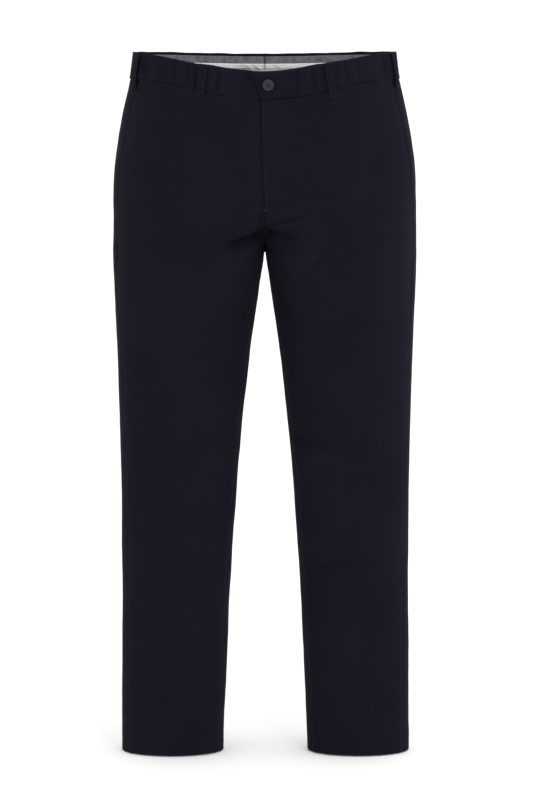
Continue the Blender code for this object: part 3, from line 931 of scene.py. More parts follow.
class NodeGroups:
    """Shader groups that several finishes use, each built once."""

    def __init__(self) -> None:
        """Builds the groups."""
        self.weave = self._weave()
        self.mottle = self._mottle()
        self.slub = self._slub()

    @staticmethod
    def _open(name: str, **inputs: float | None) -> tuple[Nodes, bpy.types.bpy_prop_collection]:
        """Starts a group.

        Args:
            name: its name.
            inputs: defaults of its inputs, or None for a vector.

        Returns:
            Its nodes, and the sockets of its inputs.
        """
        nodes = Nodes(bpy.data.node_groups.new(name, "ShaderNodeTree"))
        for key, default in inputs.items():
            kind = "NodeSocketVector" if default is None else "NodeSocketFloat"
            socket = nodes.tree.interface.new_socket(key, in_out="INPUT", socket_type=kind)
            if default is not None:
                socket.default_value = default
        return nodes, nodes.put("NodeGroupInput").outputs

    @staticmethod
    def _close(nodes: Nodes, **outputs: bpy.types.NodeSocket) -> bpy.types.NodeTree:
        """Ends a group with its named outputs.

        Args:
            nodes: the group's nodes.
            outputs: sockets by the names of the outputs.

        Returns:
            The group.
        """
        for name in outputs:
            nodes.tree.interface.new_socket(name, in_out="OUTPUT", socket_type="NodeSocketFloat")
        nodes.put("NodeGroupOutput", outputs)
        return nodes.tree

    def _weave(self) -> bpy.types.NodeTree:
        """Yarns crossing over and under: plain weave at Twill 0, diagonal wales at Twill 1.

        Returns:
            The group, with the weave's Height and how far the Warp shows.
        """
        nodes, start = self._open("yarn_weave", Cloth=None, Yarn=0.0003, Twill=1.0)
        maths = nodes.maths
        parts = nodes.put("ShaderNodeSeparateXYZ", {0: start["Cloth"]}).outputs
        across, along = (maths("DIVIDE", parts[axis], start["Yarn"]) for axis in (0, 1))
        ribs, picks = (maths("SINE", maths("MULTIPLY", way, math.pi)) for way in (across, along))
        plain = maths("MULTIPLY", ribs, picks)
        wales = maths("SINE", maths("MULTIPLY", maths("ADD", across, along), math.pi * 2 / 3))
        twill = maths("ADD", maths("MULTIPLY", wales, 0.75), maths("MULTIPLY", picks, 0.25))
        mixed = nodes.put("ShaderNodeMix", {0: start["Twill"], 2: plain, 3: twill}, data_type="FLOAT")
        level, warp = (maths("MULTIPLY_ADD", wave, 0.5, 0.5) for wave in (mixed.outputs[0], plain))
        return self._close(nodes, Height=level, Warp=warp)

    def _mottle(self) -> bpy.types.NodeTree:
        """Cloudy unevenness of dye and handling, from 0 to 1.

        Returns:
            The group, with a broad Tone and a Fine one.
        """
        nodes, start = self._open("dye_mottle", Place=None, Size=0.1)
        scale = nodes.maths("DIVIDE", 1.0, start["Size"])
        fine = nodes.maths("MULTIPLY", scale, 18.0)
        tones = [
            nodes.put(
                "ShaderNodeTexNoise", {0: start["Place"], "Scale": size, "Detail": 4.0, "Roughness": 0.6}
            )
            for size in (scale, fine)
        ]
        return self._close(nodes, Tone=tones[0].outputs[0], Fine=tones[1].outputs[0])

    def _slub(self) -> bpy.types.NodeTree:
        """Thicker and thinner stretches of yarn, long one way, from 0 to 1.

        Returns:
            The group, with the yarn's Height.
        """
        nodes, start = self._open("yarn_slub", Cloth=None, Width=0.0012, Length=0.03)
        parts = nodes.put("ShaderNodeSeparateXYZ", {0: start["Cloth"]}).outputs
        across = nodes.maths("DIVIDE", parts[0], start["Width"])
        along = nodes.maths("DIVIDE", parts[1], start["Length"])
        spot = nodes.put("ShaderNodeCombineXYZ", {0: across, 1: along}).outputs[0]
        streak = nodes.put("ShaderNodeTexNoise", {0: spot, "Scale": 1.0, "Detail": 2.0})
        return self._close(nodes, Height=streak.outputs[0])


def new_material(name: str) -> tuple[bpy.types.Material, Nodes, bpy.types.Node]:
    """New material, its nodes and its shader.

    Args:
        name: its name.

    Returns:
        The material, its nodes and its shader.
    """
    material = bpy.data.materials.new(name)
    material.use_nodes = True
    nodes = Nodes(material.node_tree)
    return material, nodes, nodes.tree.nodes["Principled BSDF"]


@dataclass(frozen=True)
class Cloth:
    """Woven cloth: its colours, and its yarn, slubs and mottling in millimetres."""

    name: str
    dark: Colour
    light: Colour
    cross: Colour
    yarn: float
    relief: float
    slub: float
    twill: float = 0.0
    crossing: float = 0.4
    roughness: float = 0.8
    sheen: float = 0.05
    specular: float = 0.25
    wear: float = 0.0
    mottle: float = 100.0
    slub_width: float = 1.2
    slub_length: float = 30.0
    tone_low: float = 0.35
    tone_high: float = 0.65
    # How much the rubbed wear and painted edge highlight lighten the colour
    rub_gain: float = 2.6
    rub_lift: float = 0.01
    # Painted shade in creases and along seams: its greatest share, and its darkness as a fraction of the dark
    # colour
    crease_share: float = 0.75
    crease_gain: float = 0.25
    uneven: float = 0.16
    sheen_roughness: float = 0.45

    def make(self, groups: NodeGroups) -> bpy.types.Material:
        """Builds the material.

        Args:
            groups: the shared node groups.

        Returns:
            The material.
        """
        material, nodes, shader = new_material(self.name)
        maths = nodes.maths
        place = nodes.put("ShaderNodeTexCoord").outputs["Object"]
        cloth = nodes.put("ShaderNodeUVMap", uv_map=FLAT_UV).outputs[0]
        weave = nodes.group(groups.weave, Cloth=cloth, Yarn=self.yarn * MM, Twill=self.twill)
        slub = nodes.group(
            groups.slub, Cloth=cloth, Width=self.slub_width * MM, Length=self.slub_length * MM
        )["Height"]
        mottle = nodes.group(groups.mottle, Place=place, Size=self.mottle * MM)

        tone = maths("ADD", mottle["Tone"], maths("MULTIPLY", slub, self.slub))
        share = nodes.put("ShaderNodeMapRange", {
            "Value": tone, "From Min": self.tone_low + self.slub * 0.3,
            "From Max": self.tone_high + self.slub * 0.7,
        }).outputs[0]
        colour = nodes.blend(share, self.dark, self.light)
        colour = nodes.blend(maths("MULTIPLY", weave["Warp"], self.crossing), colour, self.cross)
        # Rubbed wear and painted highlight: the colour lightens along seams, edges and hems
        if self.wear:
            rub_and_highlight = maths("MULTIPLY", nodes.mask(WEAR_AND_HIGHLIGHT), maths("MULTIPLY", mottle["Fine"], self.wear))
            bright = tuple(part * self.rub_gain + self.rub_lift for part in self.light)
            colour = nodes.blend(rub_and_highlight, colour, bright)
        # Painted shade: the colour darkens towards a fraction of the dark colour in creases, gathers,
        # crevices and along seams
        painted_shade = maths("MULTIPLY", nodes.mask(CREASE_SHADE), self.crease_share)
        colour = nodes.blend(painted_shade, colour, tuple(part * self.crease_gain for part in self.dark))
        relief = maths("MULTIPLY_ADD", slub, self.slub, weave["Height"])
        bump = {"Height": relief, "Distance": self.relief * MM, "Strength": 1.0}
        nodes.feed(shader, {
            "Base Color": colour,
            "Roughness": maths("MULTIPLY_ADD", mottle["Fine"], self.uneven, self.roughness - self.uneven / 2),
            "Normal": nodes.put("ShaderNodeBump", bump).outputs[0],
            "Specular IOR Level": self.specular,
            "Sheen Weight": self.sheen,
            "Sheen Roughness": self.sheen_roughness,
        })
        return material


@dataclass(frozen=True)
class Resin:
    """Cast button resin with faint swirls."""

    name: str
    dark: Colour
    light: Colour
    roughness: float
    swirl: float = 6.0
    uneven: float = 0.2
    specular: float = 0.35

    def make(self, groups: NodeGroups) -> bpy.types.Material:
        """Builds the material.

        Args:
            groups: the shared node groups.

        Returns:
            The material.
        """
        material, nodes, shader = new_material(self.name)
        place = nodes.put("ShaderNodeTexCoord").outputs["Object"]
        mottle = nodes.group(groups.mottle, Place=place, Size=self.swirl * MM)
        nodes.feed(shader, {
            "Base Color": nodes.blend(mottle["Tone"], self.dark, self.light),
            "Roughness": nodes.maths(
                "MULTIPLY_ADD", mottle["Fine"], self.uneven, self.roughness - self.uneven / 2
            ),
            "Specular IOR Level": self.specular,
        })
        return material


@dataclass(frozen=True)
class Thread:
    """Twisted sewing thread."""

    name: str
    colour: Colour
    roughness: float = 0.55
    twist: float = 4.0
    gain: float = 1.7
    relief: float = 0.08
    specular: float = 0.06

    def make(self, groups: NodeGroups) -> bpy.types.Material:
        """Builds the material.

        Args:
            groups: the shared node groups.

        Returns:
            The material.
        """
        material, nodes, shader = new_material(self.name)
        place = nodes.put("ShaderNodeTexCoord").outputs["Object"]
        mottle = nodes.group(groups.mottle, Place=place, Size=self.twist * MM)
        bump = nodes.put("ShaderNodeBump", {"Height": mottle["Fine"], "Distance": self.relief * MM})
        bright = tuple(part * self.gain for part in self.colour)
        nodes.feed(shader, {
            "Base Color": nodes.blend(mottle["Tone"], self.colour, bright),
            "Normal": bump.outputs[0],
            "Roughness": self.roughness,
            "Specular IOR Level": self.specular,
        })
        return material


class Finishes:
    """Every material of the garment."""

    def __init__(self) -> None:
        """Builds the materials."""
        groups = NodeGroups()
        self.navy = Cloth(
            "navy_cotton_twill", (0.0056, 0.0055, 0.0104), (0.0080, 0.0079, 0.0140), (0.0095, 0.0094, 0.0160),
            yarn=0.26, relief=0.07, slub=0.35, twill=1.0, crossing=0.25, roughness=0.84, sheen=0.012,
            specular=0.03, wear=0.5,
        ).make(groups)
        self.chambray = Cloth(
            "grey_chambray_weave", (0.020, 0.022, 0.026), (0.19, 0.20, 0.22), (0.36, 0.37, 0.38),
            yarn=0.45, relief=0.10, slub=1.6, crossing=0.45, roughness=0.86, mottle=11.0, slub_width=4.5,
            slub_length=11.0,
        ).make(groups)
        self.tape = Cloth(
            "white_tape_weave", (0.82, 0.83, 0.85), (0.90, 0.91, 0.93), (0.93, 0.93, 0.95),
            yarn=0.35, relief=0.08, slub=0.2,
        ).make(groups)
        self.lining = Cloth(
            "beige_lining_weave", (0.468, 0.449, 0.423), (0.55, 0.534, 0.512), (0.608, 0.594, 0.576),
            yarn=0.25, relief=0.05, slub=0.25,
        ).make(groups)
        self.resin = Resin("dark_resin", (0.006, 0.006, 0.013), (0.014, 0.0135, 0.027), 0.36).make(groups)
        self.thread = Thread("navy_thread", (0.0055, 0.0055, 0.0105)).make(groups)
        self.tack_thread = Thread("tack_thread", (0.009, 0.009, 0.015)).make(groups)
        self.button_thread = Thread("button_thread", (0.028, 0.027, 0.045)).make(groups)


# Slot name for each material
SLOTS = {
    "navy_cotton_twill": "navy_twill",
    "grey_chambray_weave": "grey_chambray",
    "white_tape_weave": "white_tape",
    "beige_lining_weave": "beige_lining",
    "dark_resin": "dark_button",
    "navy_thread": "navy_twill",
    "tack_thread": "navy_twill",
    "button_thread": "navy_twill",
}


# ---- Panels ----


@dataclass(frozen=True)
class Edge:
    """How a cut edge is finished: it rolls in and runs back inside the panel.

    back is the width turned back, radius the roll's, and sink how far a sewn edge lies below the
    cloth.
    """

    back: float
    radius: float
    sink: float

    def profile(self) -> tuple[Array, Array]:
        """Insets from the edge and heights off the surface.

        Returns:
            Both, from the panel's own cloth out to the edge and back inside it.
        """
        turns = np.radians(np.arange(30, 181, 30))
        back = np.linspace(self.radius + 1.0, self.back, max(2, round(self.back / BACK_STEP)))
        inset = np.concatenate([DENSE, self.radius * (1 - np.sin(turns)), back])
        roll = -self.radius * (1 - np.cos(turns))
        out = np.concatenate([np.zeros(len(DENSE)), roll, np.full(len(back), -2 * self.radius)])
        return inset, out


SEAM_EDGE = Edge(back=10.0, radius=0.45, sink=0.75)
HEM_EDGE = Edge(back=38.0, radius=0.9, sink=0.0)


def ranked(edge: Edge, columns: int, length: Array) -> tuple[Array, Array]:
    """Distances across a panel with finished edges, closer together near the last one.

    Args:
        edge: how both edges are finished.
        columns: how many distances lie between them.
        length: whole distance, one for each row.

    Returns:
        Distances by row and column, and heights off the surface by column.
    """
    inset, out = edge.profile()
    length = length[:, None]
    fine = np.arange(DENSE[0] + FINE_STEP, FINE_REACH, FINE_STEP)[::-1]
    share = np.linspace(0.0, 1.0, columns - len(fine) + 1)[1:]
    middle = DENSE[0] + share * (length - DENSE[0] - FINE_REACH)
    first = np.broadcast_to(inset[::-1], (len(length), len(inset)))
    along = np.concatenate([first, middle, length - fine, length - inset], axis=1)
    return along, np.concatenate([out[::-1], np.zeros(columns), out])


@dataclass
class Panel:
    """One leg panel: a front or a back, with its seams rolled in and its hem turned up."""

    half: Half
    face: Face
    columns: int
    seed: int

    # Rubbed wear with a painted highlight along the seams and the fly's edge; rubbed wear at the hem; painted
    # shade along the middle seam
    seam_rub: float = 0.35
    seam_rub_width: float = 2.5
    hem_rub: float = 0.5
    hem_rub_width: float = 3.0
    seam_shade: float = 0.8
    seam_shade_width: float = 2.2
    top_pucker_width: float = 12.0
    edge_calm: float = 0.35
    stretch: float = 0.1

    def __post_init__(self) -> None:
        """Lays the panel's grid out over the surface."""
        height, row_out = self._heights()
        start, end, level = self._ends(height)
        lengths, angles = FIGURE.course(start, end, level)
        along, column_out = ranked(SEAM_EDGE, self.columns, lengths[:, -1])
        self.level = level[:, None]
        self.angle = angles_along(along, lengths, angles)
        self.rows = np.broadcast_to(height[:, None], along.shape)
        self.flat = np.stack([along - lengths[:, -1:] / 2, self.rows], axis=-1)
        self.out = column_out + row_out[:, None]
        self.insets = along, lengths[:, -1:] - along
        self.loose = self._loose(height[:, None])

    @property
    def name(self) -> str:
        """The panel's node."""
        return f"{self.face.name.lower()}_{self.half.word}"

    @staticmethod
    def _heights() -> tuple[Array, Array]:
        """Rows from the waistband down to the hem and up inside it.

        Returns:
            Their heights, and how far they stand off the surface.
        """
        core = np.concatenate([
            np.arange(BAND_BOTTOM_Z - DENSE[0] - 3.0, POCKET_BOTTOM_Z, -3.0),
            np.arange(POCKET_BOTTOM_Z - 1.0, -300.0, -2.2),
            np.arange(-300.0, -460.0, -3.6),
            np.arange(-460.0, HEM_Z + DENSE[0] + 2.5, -4.8),
        ])
        core = np.where(np.abs(core - CROTCH_Z) < 1.1, CROTCH_Z, core)
        top_rise, top_out = np.array(TOP_STEP[::-1]).T
        hem_inset, hem_out = HEM_EDGE.profile()
        heights = np.concatenate([BAND_BOTTOM_Z + top_rise, core, HEM_Z + hem_inset])
        return heights, np.concatenate([top_out, np.zeros(len(core)), hem_out])

    def _ends(self, height: Array) -> tuple[Array, Array, Array]:
        """Both edges at the rows' heights.

        Args:
            height: the rows' heights.

        Returns:
            Start and end angles, and the height at which a row's length is measured.
        """
        fig = FIGURE
        level = np.where(height < CROTCH_Z, height, fig.dipped(height, self.face))
        if self.face is Face.FRONT:
            start = fig.beside(fig.pocket_edge(height), height, SEAM_TOUCH)
            leg = fig.beside(fig.inseam(height), height, -SEAM_TOUCH)
            fly = fig.angle_at(fig.fly_reach(self.half, height), level)
            end = np.where(level < FLY_OPEN_Z, np.pi, fly)
        else:
            start = fig.beside(fig.side_seam(height), height, -SEAM_TOUCH)
            leg = fig.beside(fig.inseam(height), height, SEAM_TOUCH) - 2 * np.pi
            end = np.full_like(height, -np.pi)
        return start, np.where(height < CROTCH_Z, leg, end), level

    def _loose(self, height: Array) -> tuple[Array, Array]:
        """How far each row's edges are free folds.

        Args:
            height: the rows' heights.

        Returns:
            Shares for both edges: 1 at the pocket's mouth and the fly, 0 in a seam.
        """
        if self.face is Face.BACK:
            return np.zeros_like(height), np.zeros_like(height)
        fly = ease((FIGURE.dipped(height, Face.FRONT) - FLY_OPEN_Z) / FLY_FADE)
        return ease((height - POCKET_BOTTOM_Z) / 20.0), fly

    def _handling(self) -> Array:
        """Unevenness of the cloth and puckers along its seams.

        Returns:
            The rise that they give the cloth.
        """
        u, v = self.flat[..., 0], self.flat[..., 1]
        pucker = Rumple(self.seed + 50, (6, 9.0, 20.0, 0.32))
        rise = Rumple(self.seed, (7, 70.0, 180.0, 0.9), (7, 22.0, 60.0, 0.28))(u, v)
        along_seam = pucker(u * self.stretch, v)
        for inset, loose in zip(self.insets, self.loose):
            rise = rise + along_seam * near(inset, PUCKER_WIDTH) * (1 - 0.6 * loose)
        top = near(self.rows - BAND_BOTTOM_Z, self.top_pucker_width)
        rise = rise + pucker(u, v * self.stretch) * top
        calm = ease((self.rows - BAND_BOTTOM_Z + 0.2) / -6.0) * ease((self.rows - HEM_Z) / 40.0 + 0.25)
        return rise * (self.edge_calm + (1 - self.edge_calm) * calm)

    @staticmethod
    def _drawn_in(x: Array, z: Array) -> Array:
        """How far the fly's row of stitches draws the cloth in, and the puckers beside it.

        Args:
            x: the points' x.
            z: their own heights.

        Returns:
            The rise, below 0 on the row.
        """
        off, along = off_line(x, z, curve_through(FLY_LINE, 3.0))
        waves = np.sin(along * 0.72) + 0.7 * np.sin(along * 0.41 + 1.3) + 0.5 * np.sin(along * 1.13 + 0.4)
        deeper = 1 + 1.6 * ease((-180.0 - z) / 15.0)
        return deeper * (-0.5 * near(off, 1.8) + 0.16 * waves * near(off, 6.0))

    def _rise(self) -> Array:
        """How far the cloth stands off the surface, with its edges, its handling and the fly.

        Returns:
            The rise by row and column.
        """
        rise = self.out
        for inset, loose in zip(self.insets, self.loose):
            rise = rise - SEAM_EDGE.sink * (1 - loose) * near(inset, SINK_WIDTH)
        rise = rise + self._handling()
        if self.face is Face.FRONT:
            x = FIGURE.base(self.angle, self.rows)[..., 0]
            rise = rise + FIGURE.fly_lift(self.half, x, self.rows)
            if self.half is Half.LEFT:
                rise = rise + self._drawn_in(x, FIGURE.dipped(self.rows, Face.FRONT))
        return rise

    def _closed(self, points: Array) -> Array:
        """Points with the edge on the garment's middle moved across, up to the other half's.

        Args:
            points: the panel's points.

        Returns:
            The points, moved along x only.
        """
        to_middle, loose = self.insets[1], self.loose[1]
        x = self.half.value * points[..., 0]
        gap = np.take_along_axis(x, np.argmin(to_middle, axis=1)[:, None], axis=1) - SEAM_TOUCH
        seam = ease((self.level - CROTCH_Z + 1.0) / 2.0) * (1 - loose)
        x = x - gap * seam * near(to_middle, CLOSE_WIDTH)
        return np.stack([self.half.value * x, points[..., 1], points[..., 2]], axis=-1)

    def _masks(self, z: Array) -> dict[str, Array]:
        """Where the cloth is rubbed, with a painted highlight along its edges, and where it gets painted
        shade in its creases and along the middle seam.

        Args:
            z: the points' own heights.

        Returns:
            The masks by name.
        """
        # Rubbed wear with a painted highlight along the edges, and rubbed wear at the hem
        wear = self.seam_rub * near(np.minimum(*self.insets), self.seam_rub_width)
        wear = wear + self.hem_rub * near(self.rows - HEM_Z, self.hem_rub_width)
        x = self.half.value * FIGURE.base(self.angle, self.rows)[..., 0]
        # Painted shade in the fold troughs, full at the deepest folds
        crease = ease(-FIGURE.fold_height(self.half, x, z, self.angle) / CREASE_SHADE_FULL)
        # Painted shade along the middle seam, except on the left front
        if (self.half, self.face) != (Half.LEFT, Face.FRONT):
            seam = (1 - self.loose[1]) * (self.level > CROTCH_Z)
            shade = self.seam_shade * near(self.insets[1], self.seam_shade_width)
            crease = np.maximum(crease, shade * seam)
        return {WEAR_AND_HIGHLIGHT: wear * (1 - crease), CREASE_SHADE: crease}

    def build(self, finishes: Finishes) -> bpy.types.Object:
        """Makes the panel's piece.

        Args:
            finishes: the materials.

        Returns:
            The piece.
        """
        points = self._closed(FIGURE.skin(self.half, self.angle, self.rows, self._rise()))
        masks = self._masks(points[..., 2])
        flip = (self.half is Half.RIGHT) != (self.face is Face.BACK)
        return weave(self.name, points, self.flat, masks, finishes.navy, flip=flip)


@dataclass
class PocketFacing:
    """Hip piece that shows behind the pocket's edge and runs on under the front."""

    half: Half

    depth: float = 2.0
    seam_depth: float = 0.45
    seam_sink: float = 0.5
    tuck_depth: float = 1.3
    columns: int = 26

    @property
    def name(self) -> str:
        """The piece's node."""
        return f"pocket_facing_{self.half.word}"

    def build(self, finishes: Finishes) -> bpy.types.Object:
        """Makes the piece.

        Args:
            finishes: the materials.

        Returns:
            The piece.
        """
        fig = FIGURE
        top, bottom = BAND_BOTTOM_Z - 0.6, POCKET_BOTTOM_Z - POCKET_TUCK
        height = np.concatenate([top + np.array([7.0, 3.5, 1.0]), np.arange(top, bottom, -2.5)])[:, None]
        start = fig.beside(fig.side_seam(height), height, HALF_GAP)
        end = fig.beside(fig.pocket_edge(height), height, POCKET_TUCK)
        share = np.linspace(0.0, 1.0, self.columns)
        angle, slant = start + (end - start) * share, fig.slant(height)
        along = share * (slant + POCKET_TUCK)
        sewn = ease(slant / 6.0)
        raised = near(along, np.maximum(0.45 * slant, 0.6)) * sewn
        rise = -self.depth + (self.depth - self.seam_depth) * raised
        rise = rise - self.seam_sink * near(along, 1.2) * sewn
        tucked = ease((height - top + 3.0) / 3.0)
        rise = rise * (1 - tucked) + np.minimum(rise, -self.tuck_depth) * tucked
        points = fig.skin(self.half, angle, height, rise)
        flat = np.stack(np.broadcast_arrays(along, height), axis=-1)
        masks = {WEAR_AND_HIGHLIGHT: np.zeros(angle.shape)}
        return weave(self.name, points, flat, masks, finishes.navy, flip=self.half is Half.RIGHT)


# ---- Waist ----


@dataclass(frozen=True)
class Spots:
    """Points of a strip: x to the wearer's left, height, whether in front, and way from its end."""

    x: Array
    height: Array
    front: Array
    along: Array


@dataclass
class WaistStrip:
    """Strip that runs round one half of the waist, from its front end to the centre back.

    section is its closed section, start gives its front end's angle at each height, and bulge how
    far it rises at its spots and how much painted shade they get.
    """

    name: str
    half: Half
    section: Array
    start: Callable[[Array], Array]
    bulge: Callable[[Spots], tuple[Array, Array]]
    end_round: float
    step: float = 2.0

    def _edge(self, x: Array, y: Array, along: Array) -> Array:
        """Rise of the strip's top edge.

        Args:
            x: the points' x, towards the wearer's left.
            y: their y.
            along: their distances along the strip.

        Returns:
            The rise, from the photo's line at the front and with a light sway at the back.
        """
        sway = Rumple(17 + self.half.value, (6, 22.0, 70.0, 0.9))
        on_front = ease(-y / 20.0)
        return np.interp(x, *TOP_LINE) * on_front + sway(along, 0.0 * along) * (1 - on_front)

    def build(self, finish: bpy.types.Material, wear: float = 0.0) -> bpy.types.Object:
        """Makes the strip's piece.

        Args:
            finish: its material.
            wear: how much its upper edge is rubbed.

        Returns:
            The piece.
        """
        fig = FIGURE
        height, out = self.section.T
        first = self.start(height)
        lengths, angles = fig.course(first, np.full_like(first, -np.pi), height)
        count = round(float(lengths[0, -1]) / self.step)
        ends = np.array([0.0, 0.15, 0.4, 0.8, 1.3]) * self.end_round
        along = np.stack([
            np.concatenate([
                ends, np.linspace(ends[-1], total - ends[-1], count + 1)[1:-1], total - ends[::-1],
            ])
            for total in lengths[:, -1]
        ])
        angle = angles_along(along, lengths, angles)
        plain = fig.base(angle, height[:, None])
        edge = self._edge(self.half.value * plain[..., 0], plain[..., 1], along)
        rows = height[:, None] + edge * ease((height[:, None] - height.min()) / 30.0)
        x, front = fig.base(angle, rows)[..., 0], fig.is_front(angle, rows)
        middle = (out.max() + out.min()) / 2
        full = rounding(np.minimum(along, lengths[:, -1:] - along), self.end_round, 0.02)
        gathers, shade = self.bulge(Spots(self.half.value * x, rows, front, along))
        rise = middle + (out[:, None] - middle) * full + fig.band_lift(self.half, x, front) + gathers
        points = fig.skin(self.half, angle, rows, rise).transpose(1, 0, 2)

        ring = np.vstack([self.section, self.section[:1]])
        around = np.concatenate([[0.0], np.cumsum(np.hypot(*np.diff(ring, axis=0).T))])
        flat = np.stack(np.broadcast_arrays(np.vstack([along, along[:1]]).T, around), axis=-1)
        # Rubbed upper edge, and the painted shade that the bulge gives
        masks = {WEAR_AND_HIGHLIGHT: wear * near(rows - height.max(), 2.0).T, CREASE_SHADE: shade.T}
        return weave(self.name, points, flat, masks, finish, wrap=True)


@dataclass
class Waist:
    """Waistband with its linings, one of each for each half."""

    facing_top: float = 2.8
    facing_height: float = 11.5
    piping_height: float = 8.0
    curtain_height: float = 34.0
    curtain_setback: float = 2.4
    curtain_flare: float = 14.0
    curtain_loose: float = 1.6
    sewn_loose: float = 0.35
    lining_setback: float = 2.5
    calm_end: float = 60.0
    band_wall: float = 1.9
    band_corner: float = 1.3
    band_rub: float = 0.6
    gather_gain: float = 1.6
    lean: float = 0.12
    lean_wave: float = 0.11

    def build(self, finishes: Finishes) -> dict[str, bpy.types.Object]:
        """Makes the pieces of both halves.

        Args:
            finishes: the materials.

        Returns:
            The pieces by node.
        """
        pieces = {}
        for half in Half:
            band = self._band(half)
            pieces[band.name] = band.build(finishes.navy, self.band_rub)
            for strip, finish in self._linings(half, finishes):
                pieces[strip.name] = strip.build(finish)
        return pieces

    def _gathers(self, at: Spots) -> Array:
        """How far the gathers at the front lift the waistband and its linings.

        Args:
            at: the points.

        Returns:
            The rise.
        """
        body = np.cos(np.clip(at.height / BAND_TOP, -1, 1) * np.pi / 2) ** 0.5
        lean = at.x + self.lean * at.height * np.sin(at.x * self.lean_wave)
        gathered = sum(self.gather_gain * rise * near(lean - x, width) for x, width, rise in GATHERS)
        return np.where(at.front, gathered * body, 0.0)

    def _light(self, rumple: Rumple, at: Spots, stretch: float = 1.0) -> Array:
        """Unevenness of a strip, none at its front end."""
        return rumple(at.along, at.height * stretch) * ease(at.along / self.calm_end)

    def _band(self, half: Half) -> WaistStrip:
        """The outer band of one half.

        Args:
            half: the half.

        Returns:
            The strip.
        """
        rumple = Rumple(31 + half.value, (6, 18.0, 44.0, 0.35))

        def start(height: Array) -> Array:
            """Angle of the band's front end."""
            end = -LAP_TUCK if half is Half.RIGHT else np.interp(height, *TAB_END)
            return FIGURE.angle_at(end, height)

        def bulge(at: Spots) -> tuple[Array, Array]:
            """Rise of the band's gathers, and the painted shade in their troughs."""
            gathered = self._gathers(at)
            # Painted shade in the gathers' troughs
            return gathered + self._light(rumple, at, 0.4), ease(-gathered / BAND_CREASE_SHADE_FULL)

        inner = BAND_PROUD - self.band_wall
        section = rounded(0.1 - BAND_HALF, BAND_TOP, BAND_PROUD, inner, 3.2, self.band_corner)
        return WaistStrip(f"waistband_{half.word}", half, section, start, bulge, 1.2)

    def _wrinkled(self, at: Spots) -> tuple[Array, Array]:
        """Gathers and wrinkles of the linings.

        Args:
            at: the points.

        Returns:
            The rise, and the painted shade in the crevices, with a dark line down the centre back.
        """
        # A dark line down the centre back, and painted shade in the crevices between the wrinkles
        shade = near(at.x, 1.3) * (at.height > -2.0) + total_height(CREVICE_SHADE, at.x, at.height)
        rise = np.where(at.front, self._gathers(at), total_height(WRINKLES, at.x, at.height))
        return rise, np.where(at.front, 0.0, shade)

    def _linings(self, half: Half, finishes: Finishes) -> list[tuple[WaistStrip, bpy.types.Material]]:
        """Facing, piping and curtain of one half.

        Args:
            half: the half.
            finishes: the materials.

        Returns:
            The strips with their materials.
        """
        rumple = Rumple(71 + half.value, (6, 20.0, 60.0, 0.35))
        outer = BAND_PROUD - BAND_WALL - SEAM_GAP
        top = BAND_HALF - self.facing_top
        hang_from = top - self.facing_height - self.piping_height

        def start(height: Array) -> Array:
            """Angle of the linings' front end."""
            return FIGURE.angle_at(self.lining_setback + half.value * LAP_TUCK, height)

        def sewn(at: Spots) -> tuple[Array, Array]:
            """Rise of a lining that is sewn down, and the painted shade in its crevices."""
            rise, shade = self._wrinkled(at)
            return rise + self.sewn_loose * self._light(rumple, at), shade

        def hanging(at: Spots) -> tuple[Array, Array]:
            """Rise of the curtain, which hangs free, and the painted shade in its crevices.

            Args:
                at: the points.

            Returns:
                The rise, and the painted shade in the crevices.
            """
            rise, shade = self._wrinkled(at)
            drop = hang_from - at.height
            back = self.curtain_setback * ease(drop / self.curtain_flare)
            loose = self.curtain_loose * ease(drop / 20.0)
            return rise - back + loose * self._light(rumple, at, 0.3), shade

        made = []
        for kind, finish, depth, wall, corner, bulge in (
            ("facing", finishes.chambray, self.facing_height, 0.7, 0.6, sewn),
            ("piping", finishes.tape, self.piping_height, 1.4, 2.0, sewn),
            ("curtain", finishes.lining, self.curtain_height, 0.6, 0.6, hanging),
        ):
            section = rounded(top - depth + 0.1, top, outer, outer - wall, 3.0, corner)
            strip = WaistStrip(f"waist_{kind}_{half.word}", half, section, start, bulge, 0.6)
            made.append((strip, finish))
            top -= depth
        return made


